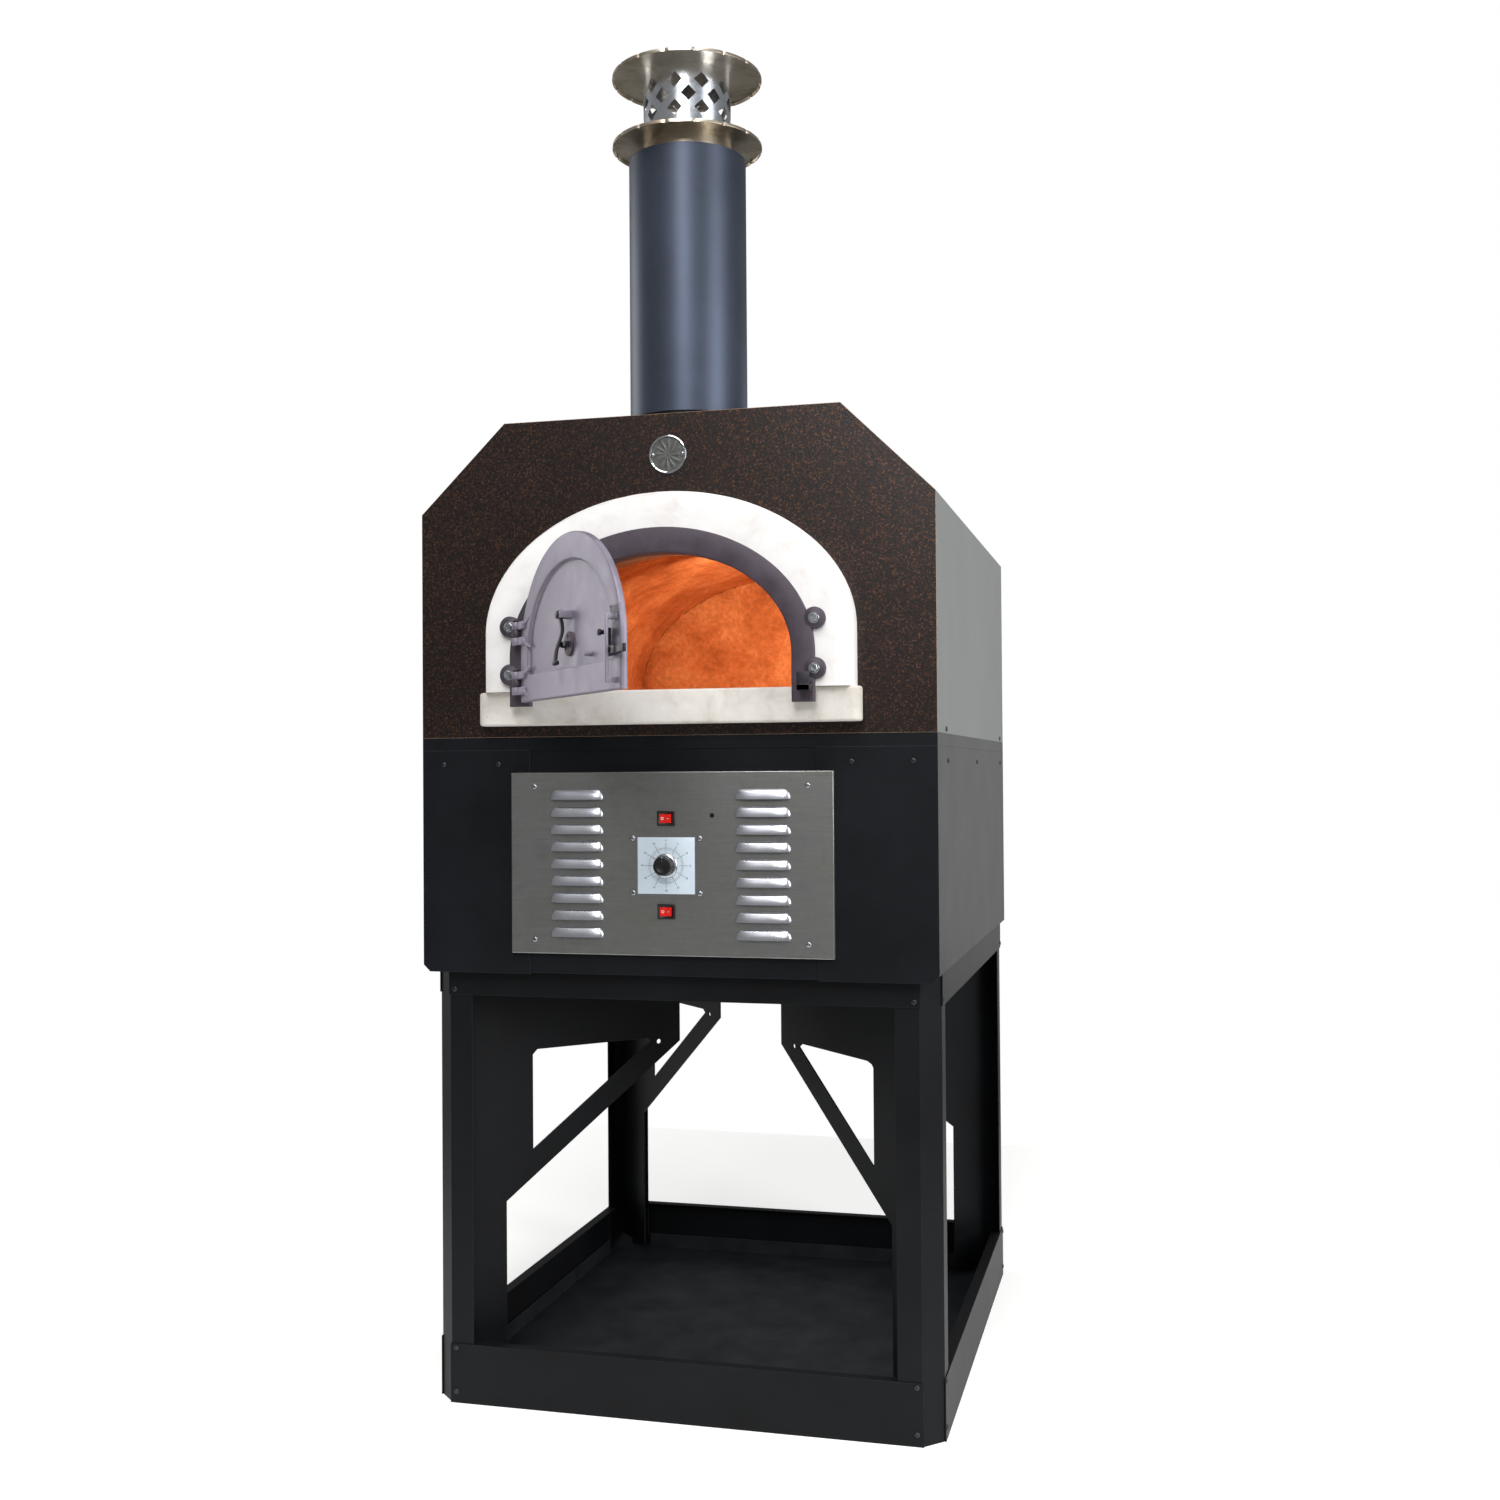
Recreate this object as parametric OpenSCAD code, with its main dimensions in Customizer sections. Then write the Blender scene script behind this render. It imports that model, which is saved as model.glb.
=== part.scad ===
// Wood and gas fired pizza oven on a steel stand.
// X runs to the right, Y to the back and Z up. The origin is on the floor, under the middle
// of the casing. Millimetres.

/* [Casing] */
// Width of the hood and of the casing below it
body_w = 905; // [740:1:1100]
// Depth of the hood, front sheet to back sheet
body_d = 1040; // [860:1:1260]
// Height of the underside of the lower casing
casing_z = 756; // [640:1:860]
// Height of the lower casing
casing_h = 385; // [340:1:470]
// Height of the black deck between the lower casing and the hood
deck_h = 22; // [16:1:40]
// Height of the hood's upright sides
hood_side_h = 392; // [392:1:480]
// Height of the sloping shoulders of the hood
shoulder_h = 152; // [120:1:190]
// Width of the sloping shoulders of the hood
shoulder_w = 156; // [120:1:190]
// Thickness of the hood and casing sheets
sheet_t = 1.5; // [1:0.1:3]

/* [Stand] */
// Distance of the stand's side faces in from the casing's sides
stand_side_inset = 3.5; // [3:0.5:30]
// Distance of the stand's front and back faces in from the casing's
stand_front_inset = 26; // [10:1:60]
// Thickness of the stand's folded sheet
stand_t = 2; // [1.5:0.1:4]
// Width of the stand's bevelled corners, measured along X or Y
corner_cut = 32; // [20:1:45]
// Width of the posts' flanges beside the bevel
post_flange = 41; // [30:1:60]
// Height of the bottom rails
bottom_rail_h = 103; // [70:1:130]
// Height of the top rails
top_rail_h = 62; // [50:1:90]
// Depth of the return flanges folded on the rails
rail_return = 20; // [12:1:30]
// Length of the corner gussets from the bevel to their tail
gusset_len = 470; // [400:1:520]
// Width of the upright leg of a gusset
gusset_leg = 115; // [80:1:140]
// Height above the floor where the sloping edge of a gusset starts
gusset_low_z = 330; // [250:1:380]
// Slope of the gussets' lower edge in degrees
gusset_slope = 36; // [30:1:38]
// Width of the sloping strut under the gusset's opening
strut_w = 40; // [30:1:55]
// Thickness of the gusset plates
gusset_t = 3; // [2:0.5:6]
// Height of the upturned edges of the wood tray
tray_lip = 30; // [10:1:60]

/* [Oven] */
// Thickness of the insulation board under the hearth
board_t = 25; // [20:1:50]
// Thickness of the hearth slab
slab_t = 51; // [40:1:60]
// Half width of the slab's front lip
lip_hw = 333; // [300:1:345]
// Distance that the slab's lip stands in front of the hood
lip_proud = 38; // [30:1:46]
// Depth of the lip below the slab's underside
lip_drop = 6; // [2:1:12]
// Inside height of the vault above the hearth
vault_rise = 301; // [280:1:320]
// Height of the vault's straight sides above the hearth
vault_side = 60; // [40:1:90]
// Thickness of the vault
vault_t = 55; // [40:1:60]
// Thickness of the vault's front wall
front_wall_t = 45; // [36:1:46]
// Thickness of the rear wall
rear_wall_t = 50; // [40:1:70]
// Thickness of the insulation blanket
blanket_t = 30; // [20:1:34]
// Half width of the white arch round the mouth
surround_hw = 322; // [300:1:332]
// Height of the white arch above the hearth
surround_h = 332; // [322:1:345]
// Height of the arch's straight sides above the hearth
surround_side = 97; // [80:1:110]
// Distance that the arch's face stands in front of the hood
surround_proud = 53; // [48:1:60]
// Depth of the arch's square outer edge in front of the hood
surround_edge = 25; // [18:1:32]
// Width of the arch's bevel
surround_bevel = 12; // [6:1:20]

/* [Mouth and door] */
// Half width of the opening in the iron frame
mouth_hw = 225; // [200:1:235]
// Height of the top of the opening above the hearth
mouth_h = 225; // [210:1:235]
// Height of the mouth's straight sides above the hearth
mouth_side = 55; // [45:1:75]
// Width of the iron frame's sides
frame_w = 38; // [30:1:44]
// Width of the iron frame at its crown
frame_crown_w = 42; // [32:1:48]
// Thickness of the iron frame
frame_t = 10; // [8:1:14]
// Depth of the frame's feet below the hearth
frame_foot = 26; // [16:1:34]
// Radius of the bolt ears on the frame
ear_r = 18; // [15:1:21]
// Heights of the bolt ears above the hearth
ear_z = [28, 109];
// Overlap of the door on the frame
door_lap = 8; // [5:1:12]
// Depth of the door's lower edge below the hearth
door_foot = 20; // [12:1:24]
// Thickness of the door's rim
door_t = 10; // [8:1:14]
// Gap between the closed door and the frame
door_gap = 1.5; // [1:0.5:4]
// Width of the door's raised border
door_border = 36; // [26:1:46]
// Depth of the door's recessed field
door_recess = 6; // [2:0.5:6]
// Height of the raised strip along the foot of the door
door_strip = 44; // [34:1:54]
// Angle by which the door stands open
door_open = 50; // [0:1:110]
// Radius of the hinge knuckles
knuckle_r = 8; // [7:0.5:10]
// Radius of the hinge pins
hinge_pin_r = 4; // [3:0.5:5]
// Heights of the hinges above the hearth
hinge_z = [12, 95];
// Distance of the hinge axis from the edge of the door
hinge_out = 10; // [9.5:0.5:14]
// Length of the hinge straps on the door
strap_l = 26; // [20:1:60]

/* [Controls] */
// Width of the control panel
panel_w = 565; // [540:1:600]
// Height of the control panel
panel_h = 309; // [300:1:340]
// Distance that the panel stands in front of the casing
panel_proud = 11; // [8:1:16]
// Number of louvres in each column
louvre_n = 9; // [5:1:9]
// Distance from one louvre to the next
louvre_pitch = 29.1; // [26:0.1:30]
// Distance of the louvre columns from the middle
louvre_x = 163; // [140:1:180]
// Width of a louvre
louvre_w = 96; // [80:1:110]
// Height of a louvre
louvre_h = 17; // [14:0.5:20]
// Distance that a louvre bulges from the panel
louvre_proud = 8; // [5:0.5:10]
// Width of the dial plate
dial_w = 100; // [90:1:110]
// Height of the dial plate
dial_h = 95; // [80:1:100]
// Radius of the timer knob
knob_r = 16.5; // [14:0.5:19]
// Length of the timer knob
knob_l = 18; // [14:1:26]
// Width of a rocker switch's bezel
switch_w = 31; // [29:0.5:34]
// Height of a rocker switch's bezel
switch_h = 25; // [23:0.5:28]
// Travel of a rocker switch in degrees
rocker_travel = 16; // [10:1:20]
// Radius of the sight hole
sight_r = 4; // [3:0.5:6]

/* [Gas] */
// Radius of the gas pipe, 1/2 inch nominal
pipe_r = 10.65; // [8:0.05:13.5]
// Length of the gas inlet behind the casing
inlet_l = 28; // [20:1:60]
// Thickness of the locknut that holds the gas pipe in the rear cover
inlet_nut_t = 6; // [4:1:10]
// Radius of the burner's throat
burner_r = 26; // [20:1:32]
// Radius of the burner's head
burner_head_r = 36; // [32:1:46]

/* [Flue] */
// Distance of the flue's axis behind the front of the hood
flue_back = 127; // [125:1:160]
// Outer radius of the inner flue, 6 inch nominal
flue_r = 76; // [60:1:76]
// Outer radius of the outer sleeve, 8 inch nominal
sleeve_r = 103; // [101:1:125]
// Thickness of the flue sheets
flue_t = 1.2; // [0.8:0.1:2]
// Length of the outer sleeve
sleeve_l = 459; // [300:1:900]
// Gap between the hood and the sleeve
sleeve_gap = 10; // [6:1:20]
// Gap between the sleeve and the lower disc of the cap
cap_gap = 28; // [20:1:40]
// Radius of the cap's discs
disc_r = 132; // [112:1:150]
// Distance between the cap's discs
cap_h = 120; // [110:1:150]
// Number of diamond holes in each row of the screen
screen_n = 10; // [8:1:11]
// Diagonal of a diamond hole
diamond = 28; // [22:1:29]
// Distance from one row of diamonds to the next
screen_row = 24; // [22:1:28]

/* [Fasteners] */
// Radius of a screw's head
screw_head_r = 4.5; // [3.5:0.5:6]
// Radius of a screw's shank
screw_r = 2; // [1.5:0.5:2.5]
// Length of a screw's shank
screw_l = 7; // [6:1:12]
// Radius of a frame bolt's shank
bolt_r = 4; // [3:0.5:5]
// Radius of the badge on the hood
badge_r = 33; // [26:1:40]

/* [Hidden] */
$fn = 64;
cut = 0.5;
slip = 0.05;
fit_gap = 0.3;
arch_steps = 36;

hw = body_w / 2;
hd = body_d / 2;
deck_z = casing_z + casing_h;
hood_z = deck_z + deck_h;
shoulder_z = hood_z + hood_side_h;
hood_top = shoulder_z + shoulder_h;
board_top = hood_z + board_t;
hearth_z = board_top + slab_t;

stand_hw = hw - stand_side_inset;
stand_hd = hd - stand_front_inset;
post_top = deck_z + deck_h - stand_t;
bay_z = casing_z - 43;
bay_floor_z = bay_z + stand_t;
gusset_top = bay_z - 1;
strut_v = strut_w / cos(gusset_slope);

front_y = -hd;
surround_y = front_y - surround_proud;
frame_front_y = surround_y - slip - frame_t;
lip_y = front_y - lip_proud;
hinge_x = -(mouth_hw + door_lap + hinge_out);
door_back_y = frame_front_y - door_gap;
hinge_y = door_back_y - door_t - 4;
door_front_y = door_back_y - door_t;
field_y = door_front_y + door_recess;

vault_outer_hw = hw - sheet_t - blanket_t - 6;
vault_inner_hw = vault_outer_hw - vault_t;
vault_spring = hearth_z + vault_side;
vault_top = hearth_z + vault_rise;
front_wall_y = front_y + sheet_t + 2.5;
rear_wall_y = hd - sheet_t - blanket_t - rear_wall_t;
mouth_bore_hw = mouth_hw + 8;

flue_y = front_y + flue_back;
sleeve_z = hood_top + sleeve_gap;
sleeve_top = sleeve_z + sleeve_l;
disc_z = sleeve_top + cap_gap;
cap_top_z = disc_z + flue_t + cap_h;
screen_r = flue_r + 1;

panel_y = front_y - panel_proud;
panel_t = 2;
panel_z = casing_z + 37;
panel_mid_z = panel_z + panel_h / 2;
dial_x = -4;
dial_z = panel_mid_z - 3;
switch_z = [dial_z + 79, dial_z - 77];
dial_t = 1.5;
fascia_y = front_y + sheet_t + 0.2;
window_hw = panel_w / 2 - 34;
wrap_edge_x = panel_w / 2 - 30;
rocker_w = switch_w - 9;
rocker_h = switch_h - 10;
rocker_tilt = rocker_travel / 2;

burner_x = -vault_inner_hw + 90;
burner_y = 160;
pipe_z = casing_z + 240;
valve_l = 90;

// Places of the screws: [x, y, z] of the head's seat and the angle about Z of its outward side,
// where 0 faces the front, 90 the right, 180 the back and -90 the left.
stand_screws = [for (sx = [-1, 1], z = [20, bottom_rail_h - 7, bay_z + 10])
    for (s = [[sx * (stand_hw - corner_cut - 11), -stand_hd, z, 0],
              [sx * (stand_hw - corner_cut - 11), stand_hd, z, 180],
              [-stand_hw, sx * (stand_hd - corner_cut - 11), z, -90],
              [stand_hw, sx * (stand_hd - corner_cut - 11), z, 90]]) s];
wrap_screws = [for (sx = [-1, 1], x = [hw - 40, wrap_edge_x + 58]) [sx * x, front_y, deck_z - 24, 0]];
side_screws = [for (sx = [-1, 1], y = [-hd + 123, 21, hd - 66]) [sx * hw, y, deck_z - 24, sx * 90]];
hood_screws = [for (sx = [-1, 1], y = [-hd + 102, hd - 70]) [sx * hw, y, hood_z + 7, sx * 90]];
panel_screws = [for (sx = [-1, 1], dz = [-24, 24])
    [sx * (panel_w / 2 - 43), panel_y, panel_mid_z + sign(dz) * (panel_h / 2 - abs(dz)), 0]];
dial_screws = [for (sx = [-1, 1], sz = [-1, 1])
    [dial_x + sx * (dial_w / 2 + 8.5), panel_y, dial_z + sz * (dial_h / 2 - 1.5), 0]];
screws = concat(stand_screws, wrap_screws, side_screws, hood_screws, panel_screws, dial_screws);

// ---------- shared shapes ----------

// Outline of an arch in the XZ plane: straight sides up to z_spring, then a half ellipse.
function arch(half_w, z_base, z_spring, z_top) = concat([[-half_w, z_base]],
    [for (i = [0:arch_steps]) let (a = 180 - 180 * i / arch_steps)
        [half_w * cos(a), z_spring + (z_top - z_spring) * sin(a)]],
    [[half_w, z_base]]);

// Extrudes an XZ outline from y0 back to y1.
module along_y(y0, y1) {
    translate([0, y1, 0]) rotate([90, 0, 0]) linear_extrude(y1 - y0) children();
}

module block(low, high) {
    translate(low) cube(high - low);
}

// A cylinder along Y, from y0 back to y1.
module rod_y(x, z, r, y0, y1) {
    translate([x, y0, z]) rotate([-90, 0, 0]) cylinder(r = r, h = y1 - y0);
}

module tube(r, t, z0, z1) {
    translate([0, 0, z0]) difference() {
        cylinder(r = r, h = z1 - z0);
        translate([0, 0, -cut]) cylinder(r = r - t, h = z1 - z0 + 2 * cut);
    }
}

module on_flue() {
    translate([0, flue_y, 0]) children();
}

// Turns its children from the outer faces of the front-left corner to any corner of the stand.
module at_corner(right, rear) {
    mirror([right ? 1 : 0, 0, 0]) mirror([0, rear ? 1 : 0, 0])
        translate([-stand_hw, -stand_hd, 0]) children();
}

module swung_door() {
    translate([hinge_x, hinge_y, 0]) rotate(-door_open) translate([-hinge_x, -hinge_y, 0]) children();
}

module screw_bores() {
    for (s = screws)
        translate([s[0], s[1], s[2]]) rotate(s[3]) rod_y(0, 0, screw_r + 0.1, -cut, screw_l + cut);
}

// ---------- stand ----------

module post(right, rear) {
    bend = stand_t * tan(22.5);
    reach = corner_cut + post_flange;
    color("#26282b") difference() {
        at_corner(right, rear) translate([stand_t, stand_t, 0]) linear_extrude(post_top)
            polygon([[reach, 0], [corner_cut, 0], [0, corner_cut], [0, reach], [stand_t, reach],
                [stand_t, corner_cut + bend], [corner_cut + bend, stand_t], [reach, stand_t]]);
        screw_bores();
    }
}

module post_front_left() { post(false, false); }
module post_front_right() { post(true, false); }
module post_rear_left() { post(false, true); }
module post_rear_right() { post(true, true); }

// One rail: a face with a flange folded inwards, at the outside of the front posts.
// half_l is half the rail's length, z0 its lower edge and flange_z the flange's lower face.
module rail_shape(half_l, z0, h, flange_z) {
    clear_l = half_l - post_flange - stand_t - 3;
    block([-half_l, 0, z0], [half_l, stand_t, z0 + h]);
    block([-clear_l, stand_t - cut, flange_z], [clear_l, rail_return, flange_z + stand_t]);
}

module rail(side, z0, h, flange_z) {
    along_x = side == 0 || side == 180;
    half_l = (along_x ? stand_hw : stand_hd) - corner_cut;
    out = along_x ? stand_hd : stand_hw;
    color("#2b2d31") difference() {
        rotate(side) translate([0, -out, 0]) rail_shape(half_l, z0, h, flange_z);
        screw_bores();
    }
}

module bottom_rail(side) { rail(side, 0, bottom_rail_h, bottom_rail_h - stand_t); }
module top_rail(side) { rail(side, bay_z, top_rail_h, bay_z); }
module rail_bottom_front() { bottom_rail(0); }
module rail_bottom_rear() { bottom_rail(180); }
module rail_bottom_left() { bottom_rail(-90); }
module rail_bottom_right() { bottom_rail(90); }
module rail_top_front() { top_rail(0); }
module rail_top_rear() { top_rail(180); }
module rail_top_left() { top_rail(-90); }
module rail_top_right() { top_rail(90); }

// A plate that stands upright on the diagonal of a corner, with a three-cornered opening.
module gusset(right, rear) {
    start = 3 * stand_t;
    rise = tan(gusset_slope);
    foot = stand_t + tray_lip;
    tail_z = gusset_low_z + (gusset_len - gusset_leg) * rise;
    open_left = gusset_leg + 52;
    open_top = gusset_top - 114;
    open_low = gusset_low_z + (open_left - gusset_leg) * rise + strut_v;
    open_right = open_left + (open_top - open_low) / rise;
    round_r = 9;
    color("#222427") at_corner(right, rear) translate([corner_cut / 2, corner_cut / 2, 0]) rotate(45)
        along_y(-gusset_t / 2, gusset_t / 2) difference() {
            polygon([[start, foot], [gusset_leg, foot], [gusset_leg, gusset_low_z],
                [gusset_len, tail_z], [gusset_len, gusset_top], [start, gusset_top]]);
            polygon([[open_left, open_low], [open_left, open_top - round_r],
                [open_left + round_r, open_top], [open_right - 2 * round_r, open_top],
                [open_right - round_r, open_top - round_r * rise]]);
            translate([gusset_len - 45, gusset_top - 122]) circle(r = 4.5);
        }
}

module gusset_front_left() { gusset(false, false); }
module gusset_front_right() { gusset(true, false); }
module gusset_rear_left() { gusset(false, true); }
module gusset_rear_right() { gusset(true, true); }

// Floor of the wood store: a sheet with its edges turned up between the posts.
module wood_tray() {
    inset = 2 * stand_t + 1;
    x = stand_hw - inset;
    y = stand_hd - inset;
    c = corner_cut;
    lip_x = stand_hw - corner_cut - post_flange - 2 * stand_t - 3;
    lip_y_half = stand_hd - corner_cut - post_flange - 2 * stand_t - 3;
    color("#35383c") {
        linear_extrude(stand_t) polygon([[-x + c, -y], [x - c, -y], [x, -y + c], [x, y - c],
            [x - c, y], [-x + c, y], [-x, y - c], [-x, -y + c]]);
        for (s = [-1, 1]) {
            block([-lip_x, s * (y - stand_t / 2) - stand_t / 2, 0],
                [lip_x, s * (y - stand_t / 2) + stand_t / 2, tray_lip]);
            block([s * (x - stand_t / 2) - stand_t / 2, -lip_y_half, 0],
                [s * (x - stand_t / 2) + stand_t / 2, lip_y_half, tray_lip]);
        }
    }
}

// ---------- lower casing ----------

// Ceiling of the wood store and floor of the burner bay.
module bay_floor() {
    inset = 2 * stand_t + 1;
    x = stand_hw - inset;
    y = stand_hd - inset;
    c = corner_cut;
    color("#2c2e32") translate([0, 0, bay_floor_z]) linear_extrude(stand_t)
        polygon([[-x + c, -y], [x - c, -y], [x, -y + c], [x, y - c],
            [x - c, y], [-x + c, y], [-x, y - c], [-x, -y + c]]);
}

module burner_shaft(extra) {
    translate([burner_x, burner_y, 0]) cylinder(r = burner_r + extra, h = hearth_z + cut);
}

module igniter_shaft(extra) {
    translate([burner_x + burner_head_r + 14, burner_y, deck_z - 60]) cylinder(r = 4 + extra, h = 240);
}

// Steel deck that carries the oven: a top sheet with a skirt all round.
module hearth_deck() {
    color("#1e2023") difference() {
        block([-hw, -hd, deck_z], [hw, hd, hood_z]);
        block([-hw + stand_t, -hd + stand_t, deck_z - cut], [hw - stand_t, hd - stand_t, hood_z - stand_t]);
        burner_shaft(4);
        igniter_shaft(2);
    }
}

// Side panel of the lower casing, wrapped round the front and back corners.
module wrap(right) {
    clip = 12;
    rear_edge = hw - 60;
    color("#2a2c30") difference() {
        mirror([right ? 1 : 0, 0, 0]) {
            along_y(-hd, -hd + sheet_t) polygon([[-hw, casing_z + clip], [-hw + clip, casing_z],
                [-wrap_edge_x, casing_z], [-wrap_edge_x, deck_z], [-hw, deck_z]]);
            block([-hw, -hd, casing_z + clip], [-hw + sheet_t, hd, deck_z]);
            block([-hw, hd - sheet_t, casing_z + clip], [-rear_edge, hd, deck_z]);
        }
        screw_bores();
    }
}

module wrap_left() { wrap(false); }
module wrap_right() { wrap(true); }

// Sheet behind the control panel, with a window for the controls.
module front_fascia() {
    half = wrap_edge_x + 24;
    color("#1b1d20") difference() {
        block([-half, fascia_y, casing_z + 2], [half, fascia_y + sheet_t, deck_z]);
        block([-window_hw, fascia_y - cut, panel_z + 30],
            [window_hw, fascia_y + sheet_t + cut, panel_z + panel_h - 30]);
        screw_bores();
    }
}

module rear_cover() {
    half = hw - 60 - fit_gap;
    slot_w = 120;
    color("#2a2c30") difference() {
        block([-half, hd - sheet_t, casing_z + 2], [half, hd, deck_z]);
        rod_y(burner_x, pipe_z, pipe_r + 3, hd - 10, hd + 10);
        for (sx = [-1, 1], i = [0:5])
            block([sx * 170 - slot_w / 2, hd - 10, deck_z - 90 - 28 * i],
                [sx * 170 + slot_w / 2, hd + 10, deck_z - 84 - 28 * i]);
    }
}

// ---------- control panel ----------

// Bulge of one louvre, as a profile of distance from the panel and height about its middle.
function louvre_profile(out, top, low) = concat(
    [for (i = [0:6]) [out * sin(15 * i), low + (top - low) * cos(15 * i)]],
    [[out, -louvre_h / 2], [0, -louvre_h / 2]]);

module louvre(w, out, back) {
    profile = louvre_profile(out, louvre_h / 2 - (louvre_proud - out), -louvre_h / 4);
    translate([w / 2, 0, 0]) rotate([90, 0, -90]) linear_extrude(w) {
        polygon(profile);
        translate([-back, -louvre_h / 2]) square([back + cut, louvre_h * 0.75]);
    }
}

module at_louvres() {
    for (sx = [-1, 1], i = [0:louvre_n - 1])
        translate([sx * louvre_x, panel_y, panel_mid_z + (i - (louvre_n - 1) / 2) * louvre_pitch])
            children();
}

module control_panel() {
    half = panel_w / 2;
    color("#b9bbbd") difference() {
        union() {
            difference() {
                block([-half, panel_y, panel_z], [half, front_y - 0.1, panel_z + panel_h]);
                block([-half + panel_t, panel_y + panel_t, panel_z + panel_t],
                    [half - panel_t, front_y + cut, panel_z + panel_h - panel_t]);
            }
            at_louvres() louvre(louvre_w, louvre_proud, 0);
        }
        at_louvres() translate([0, 0, -cut]) louvre(louvre_w - 3, louvre_proud - 1.2, panel_t + cut);
        for (z = switch_z)
            block([dial_x - switch_w / 2 + 2.5, panel_y - cut, z - switch_h / 2 + 2.5],
                [dial_x + switch_w / 2 - 2.5, panel_y + 5, z + switch_h / 2 - 2.5]);
        rod_y(dial_x, dial_z, 7, panel_y - cut, panel_y + 5);
        rod_y(76, dial_z + 84, sight_r, panel_y - cut, panel_y + 5);
        screw_bores();
    }
}

module dial_plate() {
    color("#cfe0ea") difference() {
        block([dial_x - dial_w / 2, panel_y - dial_t, dial_z - dial_h / 2],
            [dial_x + dial_w / 2, panel_y, dial_z + dial_h / 2]);
        rod_y(dial_x, dial_z, 7, panel_y - 5, panel_y + 5);
    }
}

// Clockwork or electric timer behind the panel, with the bush that the knob's spindle runs in.
module timer_body() {
    back = panel_y + panel_t;
    color("#3a3a3c") difference() {
        union() {
            block([dial_x - 28, back, dial_z - 28], [dial_x + 28, back + 34, dial_z + 28]);
            rod_y(dial_x, dial_z, 6.5, panel_y - dial_t - 1, back + cut);
        }
        rod_y(dial_x, dial_z, 3 + slip, panel_y - 10, back + 26);
    }
}

module timer_knob() {
    seat = panel_y - dial_t - 1.5;
    color("#151618") {
        difference() {
            union() {
                rod_y(dial_x, dial_z, knob_r + 4, seat - 4, seat);
                rod_y(dial_x, dial_z, knob_r, seat - knob_l - 4, seat - 4 + cut);
            }
            block([dial_x - 1, seat - knob_l - 5, dial_z + knob_r - 7],
                [dial_x + 1, seat - knob_l - 3, dial_z + knob_r + 1]);
        }
        rod_y(dial_x, dial_z, 3, seat - cut, panel_y + panel_t + 22);
    }
}

module switch_bodies() {
    color("#141416") for (z = switch_z) translate([dial_x, panel_y, z]) difference() {
        union() {
            block([-switch_w / 2, -2.5, -switch_h / 2], [switch_w / 2, 0, switch_h / 2]);
            block([-switch_w / 2 + 3, -cut, -switch_h / 2 + 3], [switch_w / 2 - 3, 26, switch_h / 2 - 3]);
        }
        block([-rocker_w / 2 - 0.6, -3, -rocker_h / 2 - 0.4], [rocker_w / 2 + 0.6, 11, rocker_h / 2 + 0.4]);
        translate([0, 2, -rocker_h / 2 - 2]) cylinder(r = 1.2 + slip, h = rocker_h + 4);
    }
}

// A rocker on two small trunnions, resting with its left half pressed in.
module rocker(z) {
    face = -5;
    color("#d3211c") translate([dial_x, panel_y + 2, z]) rotate(-rocker_tilt) {
        translate([0, 0, -rocker_h / 2]) linear_extrude(rocker_h)
            polygon([[-rocker_w / 2 + 0.6, face - 1.5], [0, face + 0.6], [rocker_w / 2 - 0.6, face - 1.5],
                [rocker_w / 2 - 1.2, 1.5], [3, 4], [-3, 4], [-rocker_w / 2 + 1.2, 1.5]]);
        translate([0, 0, -rocker_h / 2 - 1.6]) cylinder(r = 1.2, h = rocker_h + 3.2);
    }
}

module main_switch_rocker() { rocker(switch_z[0]); }
module burner_switch_rocker() { rocker(switch_z[1]); }

module control_module() {
    top = bay_floor_z + stand_t;
    color("#8b8f93") {
        block([120, -hd + 90, top], [290, -hd + 190, top + 140]);
        for (x = [150, 190, 230]) block([x, -hd + 84, top + 100], [x + 26, -hd + 90, top + 116]);
    }
}

// ---------- gas ----------

module gas_valve() {
    color("#9a8a52") difference() {
        union() {
            block([burner_x - 32, burner_y + 60, pipe_z - 30],
                [burner_x + 32, burner_y + 60 + valve_l, pipe_z + 34]);
            translate([burner_x, burner_y + 60 + valve_l / 2, pipe_z + 30]) cylinder(r = 17, h = 42);
        }
        rod_y(burner_x, pipe_z, pipe_r, burner_y + 59, burner_y + 80);
        rod_y(burner_x, pipe_z, pipe_r, burner_y + 40 + valve_l, burner_y + 61 + valve_l);
    }
}

// Supply pipe from the inlet to the valve, and outlet pipe from the valve up to the burner.
module gas_pipe() {
    color("#6f6a5e") {
        rod_y(burner_x, pipe_z, pipe_r, burner_y + 40 + valve_l, hd + inlet_nut_t + inlet_l);
        translate([burner_x, hd, pipe_z]) rotate([-90, 0, 0]) cylinder(r = pipe_r + 6, h = inlet_nut_t, $fn = 6);
        rod_y(burner_x, pipe_z, pipe_r, burner_y, burner_y + 80);
        translate([burner_x, burner_y, pipe_z - pipe_r - 3]) cylinder(r = pipe_r + 4, h = 62);
    }
}

module burner() {
    foot = pipe_z - pipe_r + 59;
    color("#5a5654") {
        translate([burner_x, burner_y, foot]) cylinder(r = burner_r, h = hearth_z - foot + 2);
        difference() {
            translate([burner_x, burner_y, hearth_z]) cylinder(r = burner_head_r, h = 20);
            for (a = [0:30:330]) translate([burner_x, burner_y, hearth_z + 12]) rotate(a)
                block([burner_head_r - 12, -1.5, 0], [burner_head_r + 1, 1.5, 5]);
        }
    }
}

module igniter() {
    x = burner_x + burner_head_r + 14;
    color("#e9e4da") {
        translate([x, burner_y, deck_z - 40]) cylinder(r = 4, h = hearth_z - deck_z + 52);
        translate([x, burner_y, hearth_z + 11]) cylinder(r = 1.5, h = 16);
    }
}

// ---------- oven body ----------

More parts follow.
